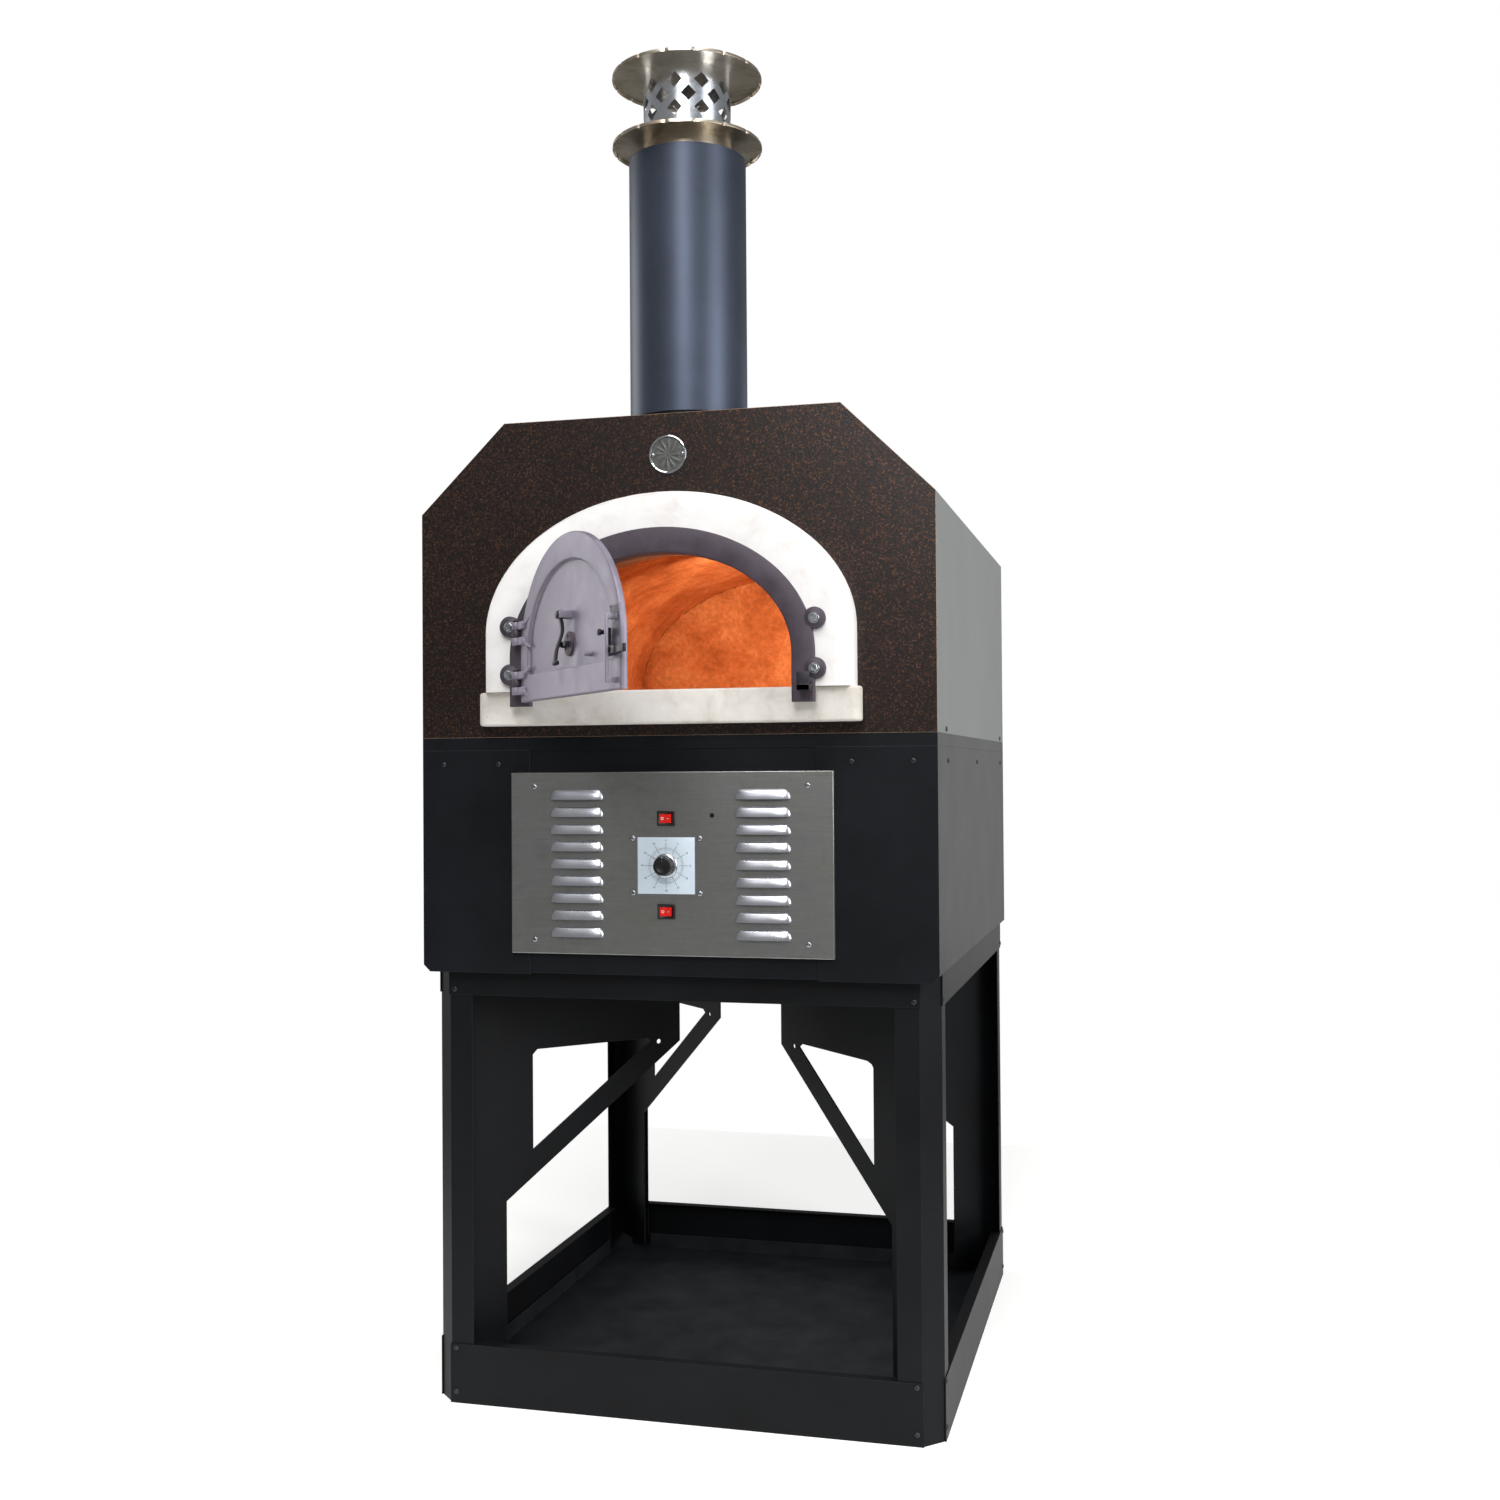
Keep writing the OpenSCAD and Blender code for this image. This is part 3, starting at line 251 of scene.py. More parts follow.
def skin(mesh, rows, around=False, along=False):
    """Quads between rows of points. Around closes each row, along joins the last row to the first."""
    verts = [[mesh.verts.new(p) for p in row] for row in rows]
    count, width = len(rows), len(rows[0])
    for i in range(count if along else count - 1):
        a, b = verts[i], verts[(i + 1) % count]
        for j in range(width if around else width - 1):
            k = (j + 1) % width
            mesh.faces.new((a[j], a[k], b[k], b[j]))
    if around and not along:
        mesh.faces.new(verts[0])
        mesh.faces.new(list(reversed(verts[-1])))
    if along and not around:
        mesh.faces.new([row[0] for row in verts])
        mesh.faces.new([row[-1] for row in reversed(verts)])


def block(mesh, low, high, rounding=0.0, steps=3):
    """A box from its low to its high corner, with every edge rounded."""
    x0, y0, z0 = low
    x1, y1, z1 = high
    corners = [mesh.verts.new(p) for p in ((x0, y0, z0), (x1, y0, z0), (x1, y1, z0), (x0, y1, z0),
                                           (x0, y0, z1), (x1, y0, z1), (x1, y1, z1), (x0, y1, z1))]
    sides = ((3, 2, 1, 0), (4, 5, 6, 7), (0, 1, 5, 4), (1, 2, 6, 5), (2, 3, 7, 6), (3, 0, 4, 7))
    faces = [mesh.faces.new([corners[i] for i in side]) for side in sides]
    if rounding:
        edges = list({edge for face in faces for edge in face.edges})
        bmesh.ops.bevel(mesh, geom=edges, offset=rounding, segments=steps, profile=0.5, affect="EDGES")


def full_turn(count):
    """Equal angles once round."""
    return [2 * math.pi * i / count for i in range(count)]


FORWARD, ACROSS, UP = (0, -1, 0), (1, 0, 0), (0, 0, 1)


def lathe(mesh, profile, centre, axis, count, along=False):
    """Turns a profile of (radius, distance along the axis) about a line through centre."""
    turn = Vector(UP).rotation_difference(Vector(axis)).to_matrix()
    rows = []
    for radius, out in profile:
        ring = [Vector((radius * math.cos(a), radius * math.sin(a), out)) for a in full_turn(count)]
        rows.append([Vector(centre) + turn @ p for p in ring])
    skin(mesh, rows, around=True, along=along)


def mm(*pairs):
    """A profile whose pairs are given in millimetres."""
    return [(a * MM, b * MM) for a, b in pairs]


def build(name, draw, material, node=None, body="oven", sharp=34):
    """Makes a piece on a body from what draw adds to a mesh, smooth but for folds over sharp degrees."""
    mesh = bmesh.new()
    draw(mesh)
    bmesh.ops.recalc_face_normals(mesh, faces=mesh.faces)
    for face in mesh.faces:
        face.smooth = True
    for edge in mesh.edges:
        edge.smooth = edge.calc_face_angle(0) < math.radians(sharp)
    data = bpy.data.meshes.new(name)
    mesh.to_mesh(data)
    mesh.free()
    piece = bpy.data.objects.new(name, data)
    bpy.context.scene.collection.objects.link(piece)
    data.materials.append(material)
    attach(piece, body)
    if node:
        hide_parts(node)
    return piece


def cut_away(piece, draw):
    """Cuts what draw adds to a mesh out of a piece, and keeps its large faces flat."""
    cutter = bmesh.new()
    draw(cutter)
    data = bpy.data.meshes.new("cutter")
    bmesh.ops.recalc_face_normals(cutter, faces=cutter.faces)
    cutter.to_mesh(data)
    cutter.free()
    tool = bpy.data.objects.new("cutter", data)
    bpy.context.scene.collection.objects.link(tool)
    cut = piece.modifiers.new("cut", "BOOLEAN")
    cut.operation = "DIFFERENCE"
    cut.solver = "EXACT"
    cut.object = tool
    bpy.context.view_layer.update()
    done = bpy.data.meshes.new_from_object(piece.evaluated_get(bpy.context.evaluated_depsgraph_get()))
    piece.modifiers.clear()
    piece.data = done
    for face in done.polygons:
        face.use_smooth = face.use_smooth and face.area < FLAT_AREA
    bpy.data.objects.remove(tool)


def brushed_steel(name, tone, smear, rough, line_mm, stretch):
    """Stainless sheet brushed in one direction: fine lines, with cloudy smears from handling."""
    material, tree, shader = new_material(name, Metallic=1.0)
    here = object_space(tree)
    laid = add(tree, "Mapping", {"Vector": here, "Scale": (1 / stretch, 1, 1)})
    lines = add(tree, "TexNoise", {"Vector": laid.outputs["Vector"], "Scale": 1 / (line_mm * MM),
                                   "Detail": 4.0})
    clouds = add(tree, "TexNoise", {"Vector": here, "Scale": 1 / (70 * MM), "Detail": 6.0, "Roughness": 0.62,
                                    "Distortion": 0.6})
    base = add(tree, "ValToRGB", {"Fac": clouds.outputs["Fac"]}, [(0.30, smear), (0.62, tone)])
    shade = add(tree, "MapRange", {"Value": lines.outputs["Fac"], "From Min": 0.3, "From Max": 0.7,
                                   "To Min": 0.86, "To Max": 1.06}).outputs["Result"]
    lined = add(tree, "VectorMath", {0: base.outputs["Color"], 1: shade}, operation="MULTIPLY")
    gloss = add(tree, "MapRange", {"Value": clouds.outputs["Fac"], "From Min": 0.3, "From Max": 0.7,
                                   "To Min": rough + 0.10, "To Max": rough - 0.04})
    bump = add(tree, "Bump", {"Strength": 0.5, "Distance": 0.03 * MM, "Height": lines.outputs["Fac"]})
    feed(shader, Base_Color=lined.outputs["Vector"], Roughness=gloss.outputs["Result"],
         Normal=bump.outputs["Normal"])
    return material


def louvre(mesh, x, z):
    """One pressed louvre: a hood with rounded ends that bulges most at its open lower edge."""
    across, down = 28, 10
    sheet = 1.2 * MM
    end = 12 * MM
    top = LOUVRE_HALF_H
    shells = []
    for inset in (0.0, sheet):
        rows = []
        for j in range(down + 1):
            v = j / down
            rounded = math.sqrt(1 - (1 - v) ** 2)
            half = LOUVRE_HALF_W - inset - end * (1 - rounded) - 4 * MM * max(0.0, v - 0.8)
            row = []
            for i in range(across + 1):
                u = -1 + 2 * i / across
                u = math.copysign(1 - (1 - abs(u)) ** 1.6, u)
                taper = math.sqrt(max(0.0, 1 - abs(u) ** 4))
                depth = (LOUVRE_PROUD - inset) * (rounded * taper)
                row.append((x + half * u, PANEL_FACE + 0.3 * MM - depth,
                            z + top - inset * (1 - v) - 2 * top * v))
            rows.append(row)
        shells.append(rows)
    outer, inner = shells
    skin(mesh, outer)
    skin(mesh, inner)
    skin(mesh, [outer[-1], inner[-1]])


def panel_sheet(mesh):
    block(mesh, (PANEL_LOW.x, PANEL_FACE, PANEL_LOW.z), PANEL_HIGH, 1.6 * MM, 4)


def panel_cutter(mesh):
    back = PANEL_HIGH.y + 5 * MM
    block(mesh, (PANEL_LOW.x + PANEL_T, PANEL_FACE + PANEL_T, PANEL_LOW.z + PANEL_T),
          (PANEL_HIGH.x - PANEL_T, back, PANEL_HIGH.z - PANEL_T))


def switch_boxes(mesh, half_w, half_h, front, back, rounding=0.0):
    """A box round the middle of each switch, from front to back."""
    for z in SWITCH_ZS:
        block(mesh, (DIAL_X - half_w, front, z - half_h), (DIAL_X + half_w, back, z + half_h), rounding)


def panel_holes(mesh):
    front, back = PANEL_FACE - 4 * MM, PANEL_FACE + PANEL_T + 1 * MM
    switch_boxes(mesh, SWITCH_W / 2 - 2.5 * MM, SWITCH_H / 2 - 2.5 * MM, front, back)
    for x, z, r in ((DIAL_X, DIAL_Z, 7 * MM), (SIGHT_X, SIGHT_Z, SIGHT_R)):
        lathe(mesh, [(r, 0), (r, back - front)], (x, front, z), (0, 1, 0), 32)
    for x, z in louvre_places():
        block(mesh, (x - LOUVRE_HALF_W + 6 * MM, front, z - LOUVRE_HALF_H + 0.5 * MM),
              (x + LOUVRE_HALF_W - 6 * MM, back, z + LOUVRE_HALF_H - 4 * MM))


def louvre_places():
    middle = (LOUVRE_N - 1) / 2
    return [(side * LOUVRE_X, PANEL_MID_Z + (i - middle) * LOUVRE_PITCH)
            for side in (-1, 1) for i in range(LOUVRE_N)]


def louvres(mesh):
    for x, z in louvre_places():
        louvre(mesh, x, z)


panel_steel = brushed_steel("brushed_stainless_panel", "#a3a4a3", "#878882", 0.38, 1.6, 40)
# The louvres' paler tone is a painted highlight: they are the same steel as the panel.
louvre_steel_painted_bright = brushed_steel("pressed_stainless_louvres_painted_highlight", "#eceef4", "#c9ccd8", 0.27, 1.6, 30)
panel = build("control_panel_sheet", panel_sheet, panel_steel, "control_panel")
cut_away(panel, panel_cutter)
cut_away(panel, panel_holes)
build("panel_louvres", louvres, louvre_steel_painted_bright, sharp=50)


# Dial plate: a 1.5 mm square of pale anodised aluminium, screwed over the timer's spindle and
# printed in black with a minute ring, twelve long lines, small numbers and one red mark.
DIAL_FACE = DIAL_LOW.y
INK_T = 0.12 * MM
MINUTES = 60


def dial_point(angle, radius, out):
    """A point on the dial, the angle in degrees clockwise from the top."""
    a = math.radians(angle)
    return Vector((DIAL_X + radius * math.sin(a), DIAL_FACE - out, DIAL_Z + radius * math.cos(a)))


def stroke(mesh, angle, inner, outer, width):
    """A printed line along a radius of the dial."""
    side = Vector((math.cos(math.radians(angle)), 0, -math.sin(math.radians(angle)))) * width / 2
    rows = []
    for out in (0.0, INK_T):
        a, b = dial_point(angle, inner, out), dial_point(angle, outer, out)
        rows.append([a - side, a + side, b + side, b - side])
    skin(mesh, rows, around=True)


def numeral(mesh, text, angle, radius, height):
    """A printed number, upright, centred at a point of the dial."""
    curve = bpy.data.curves.new("numeral", "FONT")
    curve.body = text
    curve.size = height / 0.7
    curve.align_x = "CENTER"
    curve.align_y = "CENTER"
    curve.extrude = INK_T / 2
    letter = bpy.data.objects.new("numeral", curve)
    bpy.context.scene.collection.objects.link(letter)
    bpy.context.view_layer.update()
    data = bpy.data.meshes.new_from_object(letter.evaluated_get(bpy.context.evaluated_depsgraph_get()))
    place = Matrix.Translation(dial_point(angle, radius, INK_T / 2)) @ Matrix.Rotation(math.pi / 2, 4, "X")
    data.transform(place)
    mesh.from_mesh(data)
    bpy.data.objects.remove(letter)
    bpy.data.meshes.remove(data)


def plain_finish(name, code, rough, grain_mm, height_mm, tint=0.08, metal=0.0, patch_mm=25, **more):
    """An even finish: a faint change of tone and gloss over it, and a fine grain."""
    material, tree, shader = new_material(name, Metallic=metal, **more)
    here = object_space(tree)
    patches = add(tree, "TexNoise", {"Vector": here, "Scale": 1 / (patch_mm * MM), "Detail": 4.0})
    shade = add(tree, "MapRange", {"Value": patches.outputs["Fac"], "From Min": 0.3, "From Max": 0.7,
                                   "To Min": 1 - tint, "To Max": 1 + tint})
    tone = add(tree, "VectorMath", {0: linear(code)[:3], 1: shade.outputs["Result"]}, operation="MULTIPLY")
    gloss = add(tree, "MapRange", {"Value": patches.outputs["Fac"], "From Min": 0.3, "From Max": 0.7,
                                   "To Min": rough * 0.85, "To Max": rough * 1.15})
    grain = add(tree, "TexNoise", {"Vector": here, "Scale": 1 / (grain_mm * MM), "Detail": 2.0})
    bump = add(tree, "Bump", {"Strength": 0.5, "Distance": height_mm * MM, "Height": grain.outputs["Fac"]})
    feed(shader, Base_Color=tone.outputs["Vector"], Roughness=gloss.outputs["Result"],
         Normal=bump.outputs["Normal"])
    return material


def dial_sheet(mesh):
    block(mesh, DIAL_LOW, DIAL_HIGH, 0.5 * MM, 2)


def dial_print(mesh):
    for minute in range(MINUTES):
        stroke(mesh, minute * 6, 26.5 * MM, (31 if minute % 5 else 33) * MM, 0.28 * MM)
        stroke(mesh, minute * 6 + 3, 28.5 * MM, 31 * MM, 0.22 * MM)
    for minute in range(0, MINUTES, 5):
        stroke(mesh, minute * 6, 22.5 * MM, 38 * MM, 0.55 * MM)
        numeral(mesh, str(minute), minute * 6, 42 * MM, 3.2 * MM)


def red_mark(mesh):
    stroke(mesh, -60, 21.5 * MM, 27 * MM, 1.1 * MM)


dial_metal = plain_finish("pale_anodised_aluminium_dial", "#cfdde8", 0.36, 0.6, 0.01, 0.03,
                          Specular_IOR_Level=0.6)
black_ink = plain_finish("black_printing_ink", "#26292d", 0.5, 0.5, 0.01)
red_ink = plain_finish("red_printing_ink", "#d8332a", 0.5, 0.5, 0.01)
build("dial_face", dial_sheet, dial_metal, "dial_plate")
build("dial_markings", dial_print, black_ink, sharp=20)
build("dial_red_mark", red_mark, red_ink, sharp=20)

# Timer and knob: a phenolic timer behind the panel, and a moulded black knob with a fluted grip
# and a white pointer line, pressed on the spindle over a spun aluminium skirt.
KNOB_TIP_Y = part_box("timer_knob")[0].y
KNOB_R = 16.5 * MM
SKIRT_R = KNOB_R + 4 * MM
SKIRT_T = 4 * MM
KNOB_SEAT = DIAL_FACE - 1.5 * MM
KNOB_L = KNOB_SEAT - KNOB_TIP_Y
FLUTES = 30


def knob_grip(mesh):
    count = FLUTES * 6
    round_r = 2.2 * MM
    profile = [(KNOB_R, SKIRT_T - 0.5 * MM, 0), (KNOB_R, SKIRT_T + 0.6 * MM, 0),
               (KNOB_R, SKIRT_T + 1.4 * MM, 1), (KNOB_R * 0.97, KNOB_L - round_r - 1 * MM, 1),
               (KNOB_R * 0.965, KNOB_L - round_r, 0)]
    profile += [(KNOB_R * 0.965 - round_r * (1 - math.cos(a)), KNOB_L - round_r * (1 - math.sin(a)), 0)
                for a in (math.radians(d) for d in (30, 60, 90))]
    profile += [(KNOB_R * 0.6, KNOB_L, 0), (KNOB_R * 0.55, KNOB_L - 0.5 * MM, 0)]
    rows = []
    for radius, out, fluted in profile:
        row = []
        for a in full_turn(count):
            r = radius - fluted * 0.45 * MM * (0.5 - 0.5 * math.cos(FLUTES * a))
            row.append((DIAL_X + r * math.cos(a), KNOB_SEAT - out, DIAL_Z + r * math.sin(a)))
        rows.append(row)
    skin(mesh, rows, around=True)


def knob_skirt(mesh):
    seat = (DIAL_X, KNOB_SEAT, DIAL_Z)
    lathe(mesh, [(3 * MM, 0), (SKIRT_R, 0), (SKIRT_R, 1.6 * MM), (SKIRT_R - 0.6 * MM, 2.4 * MM),
                 (KNOB_R + 1 * MM, SKIRT_T), (KNOB_R - 2 * MM, SKIRT_T)], seat, FORWARD, 64)
    lathe(mesh, mm((3, -24), (3, 1)), seat, FORWARD, 24)


def knob_pointer(mesh):
    block(mesh, (DIAL_X - 0.8 * MM, KNOB_SEAT - KNOB_L, DIAL_Z + KNOB_R * 0.58),
          (DIAL_X + 0.8 * MM, KNOB_SEAT - KNOB_L + 1.2 * MM, DIAL_Z + KNOB_R * 0.90), 0.3 * MM, 2)


black_plastic = plain_finish("black_moulded_phenolic", "#141517", 0.38, 0.7, 0.03, 0.1)
white_plastic = plain_finish("white_moulded_marking", "#e8e8e6", 0.5, 0.5, 0.01, 0.03)
skirt_metal = plain_finish("spun_aluminium_skirt", "#b9bcc0", 0.30, 0.5, 0.01, 0.06, metal=1.0)
build("timer_knob_grip", knob_grip, black_plastic, "timer_knob", "timer_knob")
build("timer_knob_skirt", knob_skirt, skirt_metal, "timer_knob", "timer_knob")
build("timer_knob_pointer", knob_pointer, white_plastic, "timer_knob", "timer_knob")
dress(black_plastic, "timer_body")

# Rocker switches: black moulded bodies that snap into the panel, each with a glossy red rocker
# on two trunnions, printed in white with a ring and a bar.
ROCKER_W = SWITCH_W - 9 * MM
ROCKER_H = SWITCH_H - 10 * MM
ROCKER_TILT = math.radians(-8)
ROCKER_FACE = -5 * MM
TRUNNION_R = 1.2 * MM
MARK_X = 5.2 * MM
MARK_Y = ROCKER_FACE - 0.45 * MM
PIVOT_Y = PANEL_FACE + 2 * MM


def switch_bodies(mesh):
    """A flange on the panel's face and a housing that goes through it."""
    half_w, half_h = SWITCH_W / 2, SWITCH_H / 2
    switch_boxes(mesh, half_w, half_h, PANEL_FACE - 2.5 * MM, PANEL_FACE, 0.9 * MM)
    switch_boxes(mesh, half_w - 3 * MM, half_h - 3 * MM, PANEL_FACE - 0.5 * MM, PANEL_FACE + 26 * MM,
                 0.5 * MM)


def switch_windows(mesh):
    switch_boxes(mesh, ROCKER_W / 2 + 0.6 * MM, ROCKER_H / 2 + 0.4 * MM, PANEL_FACE - 3 * MM,
                 PANEL_FACE + 11 * MM)


def rocker_place(z):
    return Matrix.Translation((DIAL_X, PIVOT_Y, z)) @ Matrix.Rotation(ROCKER_TILT, 4, "Z")


def rocker(mesh, z):
    """A rocker whose two faces fall to the middle, with its left half pressed in."""
    half = ROCKER_W / 2
    outline = [(-half + 0.6 * MM, ROCKER_FACE - 1.5 * MM), (0, ROCKER_FACE + 0.6 * MM),
               (half - 0.6 * MM, ROCKER_FACE - 1.5 * MM), (half - 1.2 * MM, 1.5 * MM), (3 * MM, 4 * MM),
               (-3 * MM, 4 * MM), (-half + 1.2 * MM, 1.5 * MM)]
    skin(mesh, [[(x, y, h) for x, y in outline] for h in (-ROCKER_H / 2, ROCKER_H / 2)], around=True)
    bmesh.ops.bevel(mesh, geom=mesh.edges[:], offset=0.5 * MM, segments=3, profile=0.5, affect="EDGES")
    reach = ROCKER_H / 2 + 1.6 * MM
    lathe(mesh, [(TRUNNION_R, -reach), (TRUNNION_R, reach)], (0, 0, 0), UP, 16)
    mesh.transform(rocker_place(z))


def merge(mesh, other):
    """Adds a second bmesh to the first and frees it."""
    data = bpy.data.meshes.new("part")
    other.to_mesh(data)
    other.free()
    mesh.from_mesh(data)
    bpy.data.meshes.remove(data)


def rocker_marks(mesh, z):
    """A ring on the left half and a bar on the right."""
    slope = math.atan2(2.1 * MM, ROCKER_W / 2 - 0.6 * MM)
    mark_t = 0.1 * MM
    ring = [(2.5 * MM, 0), (2.5 * MM, mark_t), (1.7 * MM, mark_t), (1.7 * MM, 0)]
    lathe(mesh, ring, (0, 0, 0), FORWARD, 32, along=True)
    mesh.transform(Matrix.Translation((-MARK_X, MARK_Y, 0)) @ Matrix.Rotation(slope, 4, "Z"))
    bar = bmesh.new()
    block(bar, (-1.7 * MM, -mark_t, -0.4 * MM), (1.7 * MM, 0, 0.4 * MM))
    bar.transform(Matrix.Translation((MARK_X, MARK_Y, 0)) @ Matrix.Rotation(-slope, 4, "Z"))
    merge(mesh, bar)
    mesh.transform(rocker_place(z))


red_plastic = plain_finish("red_glossy_polycarbonate", "#e01f14", 0.16, 0.9, 0.01, 0.04, Coat_Weight=0.4,
                           Subsurface_Weight=0.1, Subsurface_Scale=0.002)
switches = build("switch_housings", switch_bodies, black_plastic, "switch_bodies")
cut_away(switches, switch_windows)
for switch, z in zip(("main_switch", "burner_switch"), SWITCH_ZS):
    for part, draw, plastic, slot in (("_red_rocker", rocker, red_plastic, "red_plastic"),
                                      ("_marks", rocker_marks, white_plastic, "dial_face")):
        build(switch + part, lambda mesh: draw(mesh, z), plastic, switch + "_rocker", switch)

# Gas train behind the panel: an aluminium control module, a brass valve, a black iron pipe with
# its inlet at the back, a cast burner and a ceramic igniter that stand up through the hearth. A
# near-black disc behind the panel closes the sight hole: painted shade for the dark inside.
SHADE_DISC_R = SIGHT_R + 2 * MM
SHADE_DISC_T = 1 * MM


def sight_pane(mesh):
    lathe(mesh, [(SHADE_DISC_R, 0), (SHADE_DISC_R, SHADE_DISC_T)], (SIGHT_X, PANEL_FACE + PANEL_T, SIGHT_Z), (0, 1, 0), 32)


dress(plain_finish("cast_aluminium_module", "#8a8d90", 0.42, 1.2, 0.05, 0.1, metal=0.8), "control_module")
dress(plain_finish("dull_forged_brass", "#9c8549", 0.36, 1.0, 0.04, 0.14, metal=1.0), "gas_valve")
dress(plain_finish("black_iron_gas_pipe", "#4a4640", 0.55, 1.0, 0.06, 0.2, metal=0.7), "gas_pipe")
dress(plain_finish("heat_stained_cast_burner", "#5d534b", 0.62, 1.4, 0.12, 0.3, metal=0.5), "burner")
dress(plain_finish("glazed_white_ceramic", "#eae6dc", 0.22, 1.5, 0.02, 0.05, Coat_Weight=0.5), "igniter")
# A near-black disc behind the sight hole: painted shade standing for the dark casing behind it.
sight_hole_shade_finish = plain_finish("sight_hole_painted_shade", "#0b0c0e", 0.30, 1.2, 0.05, 0.05)
build("sight_hole_painted_shade_disc", sight_pane, sight_hole_shade_finish, "control_panel")

# Hearth: a calcium silicate board under a cast refractory slab. The slab's neck comes out under
# the arch and ends in a wider lip with rounded corners, off-white, mottled and scuffed, with the
# small pits that air leaves in a casting. The bed inside is baked to a tan.
SLAB_LOW, SLAB_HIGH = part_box("hearth_slab")
BOARD_LOW, BOARD_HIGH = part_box("insulation_board")
HOOD_FRONT_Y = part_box("hood_front")[0].y
BURNER_LOW, BURNER_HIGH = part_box("burner")
IGNITER_LOW, IGNITER_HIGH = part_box("igniter")
HEARTH_Z = SLAB_HIGH.z
LIP_HALF_W = 333 * MM
LIP_CORNER = 16 * MM
LIP_EDGE = 4.5 * MM


def cast_stone(name, tones, grain_mm, grain_height_mm, pit_mm, pit_share, pit_shade_code, pit_depth_mm, rough=0.86,
               patch_mm=90):
    """Cast refractory: mottled tones from dark to light, a sandy grain, scattered air pits painted darker as
    shade.
    """
    material, tree, shader = new_material(name, Roughness=rough, Specular_IOR_Level=0.3)
    here = object_space(tree)
    patches = add(tree, "TexNoise", {"Vector": here, "Scale": 1 / (patch_mm * MM), "Detail": 8.0,
                                     "Roughness": 0.62, "Distortion": 0.4})
    tone = add(tree, "ValToRGB", {"Fac": patches.outputs["Fac"]},
               [(0.30, tones[0]), (0.48, tones[1]), (0.66, tones[2])])
    pits = add(tree, "TexVoronoi", {"Vector": here, "Scale": 1 / (pit_mm * 3 * MM), "Randomness": 1.0})
    odd = add(tree, "SeparateColor", {"Color": pits.outputs["Color"]})
    size = add(tree, "MapRange", {"Value": odd.outputs[0], "From Min": 1 - pit_share, "From Max": 1.0,
                                  "To Min": 0.0, "To Max": 0.17}).outputs["Result"]
    warped = add(tree, "TexNoise", {"Vector": here, "Scale": 1 / (pit_mm * 0.5 * MM), "Detail": 3.0})
    reach = add(tree, "Math", {0: size, 1: warped.outputs["Fac"]}, operation="MULTIPLY").outputs["Value"]
    gap = add(tree, "Math", {0: reach, 1: pits.outputs["Distance"]}, operation="SUBTRACT").outputs["Value"]
    pit = add(tree, "MapRange", {"Value": gap, "From Min": -0.03, "From Max": 0.03}).outputs["Result"]
    # Pits take a darker colour: painted shade inside the holes, beside their sunk bump.
    mixed = add(tree, "Mix", {"Factor": pit, 6: tone.outputs["Color"], 7: linear(pit_shade_code)}, data_type="RGBA")
    grain = add(tree, "TexNoise", {"Vector": here, "Scale": 1 / (grain_mm * MM), "Detail": 6.0,
                                   "Roughness": 0.7})
    sand = add(tree, "Bump", {"Strength": 0.7, "Distance": grain_height_mm * MM,
                              "Height": grain.outputs["Fac"]})
    sunk = add(tree, "Bump", {"Strength": 0.9, "Distance": pit_depth_mm * MM, "Height": pit,
                              "Normal": sand.outputs["Normal"]}, invert=True)
    feed(shader, Base_Color=mixed.outputs[2], Normal=sunk.outputs["Normal"])
    return material


def rounded_outline(low, high, radius, inset):
    """A rounded rectangle drawn in by inset, with the same number of points (x, y) at any inset."""
    corner, side = 6, 40
    arcs = []
    for cx, cy, start in ((high[0] - radius, high[1] - radius, 0), (low[0] + radius, high[1] - radius, 90),
                          (low[0] + radius, low[1] + radius, 180), (high[0] - radius, low[1] + radius, 270)):
        turns = [math.radians(start + 90 * i / corner) for i in range(corner + 1)]
        arcs.append([Vector((cx + (radius - inset) * math.cos(a), cy + (radius - inset) * math.sin(a)))
                     for a in turns])
    points = []
    for k in range(4):
        points += arcs[k] + [arcs[k][-1].lerp(arcs[(k + 1) % 4][0], i / side) for i in range(1, side)]
    return points


def soft_edges(low, high, radius):
    """Pairs of (inset, height) up a side whose lower and upper edges are rounded by radius."""
    turn = [math.radians(angle) for angle in (0, 22.5, 45, 67.5, 90)]
    foot = [(radius * (1 - math.cos(a)), low + radius * (1 - math.sin(a))) for a in reversed(turn)]
    head = [(radius * (1 - math.cos(a)), high - radius * (1 - math.sin(a))) for a in turn]
    return foot + [(0.0, low + (high - low) * s) for s in (0.25, 0.5, 0.75)] + head


def wander(point, reach):
    """How far a cast edge strays inwards at a point: long soft waves and a few small chips."""
    wave = 0.5 + 0.5 * noise.noise(Vector(point) / (45 * MM))
    chip = max(0.0, noise.noise(Vector(point) / (9 * MM)) - 0.38)
    return reach * (0.5 * wave + 2.2 * chip)


def slab_lip(mesh):
    """The lip, with soft cast edges that stray a little along their length."""
    low, high = (-LIP_HALF_W, SLAB_LOW.y), (LIP_HALF_W, HOOD_FRONT_Y - 0.2 * MM)
    rows = []
    for inset, z in soft_edges(SLAB_LOW.z, HEARTH_Z, LIP_EDGE):
        row = []
        for x, y in rounded_outline(low, high, LIP_CORNER, inset):
            front = y < low[1] + LIP_CORNER
            row.append((x, y + (wander((x, y, z), 1.2 * MM) if front else 0.0), z))
        rows.append(row)
    skin(mesh, rows, around=True)


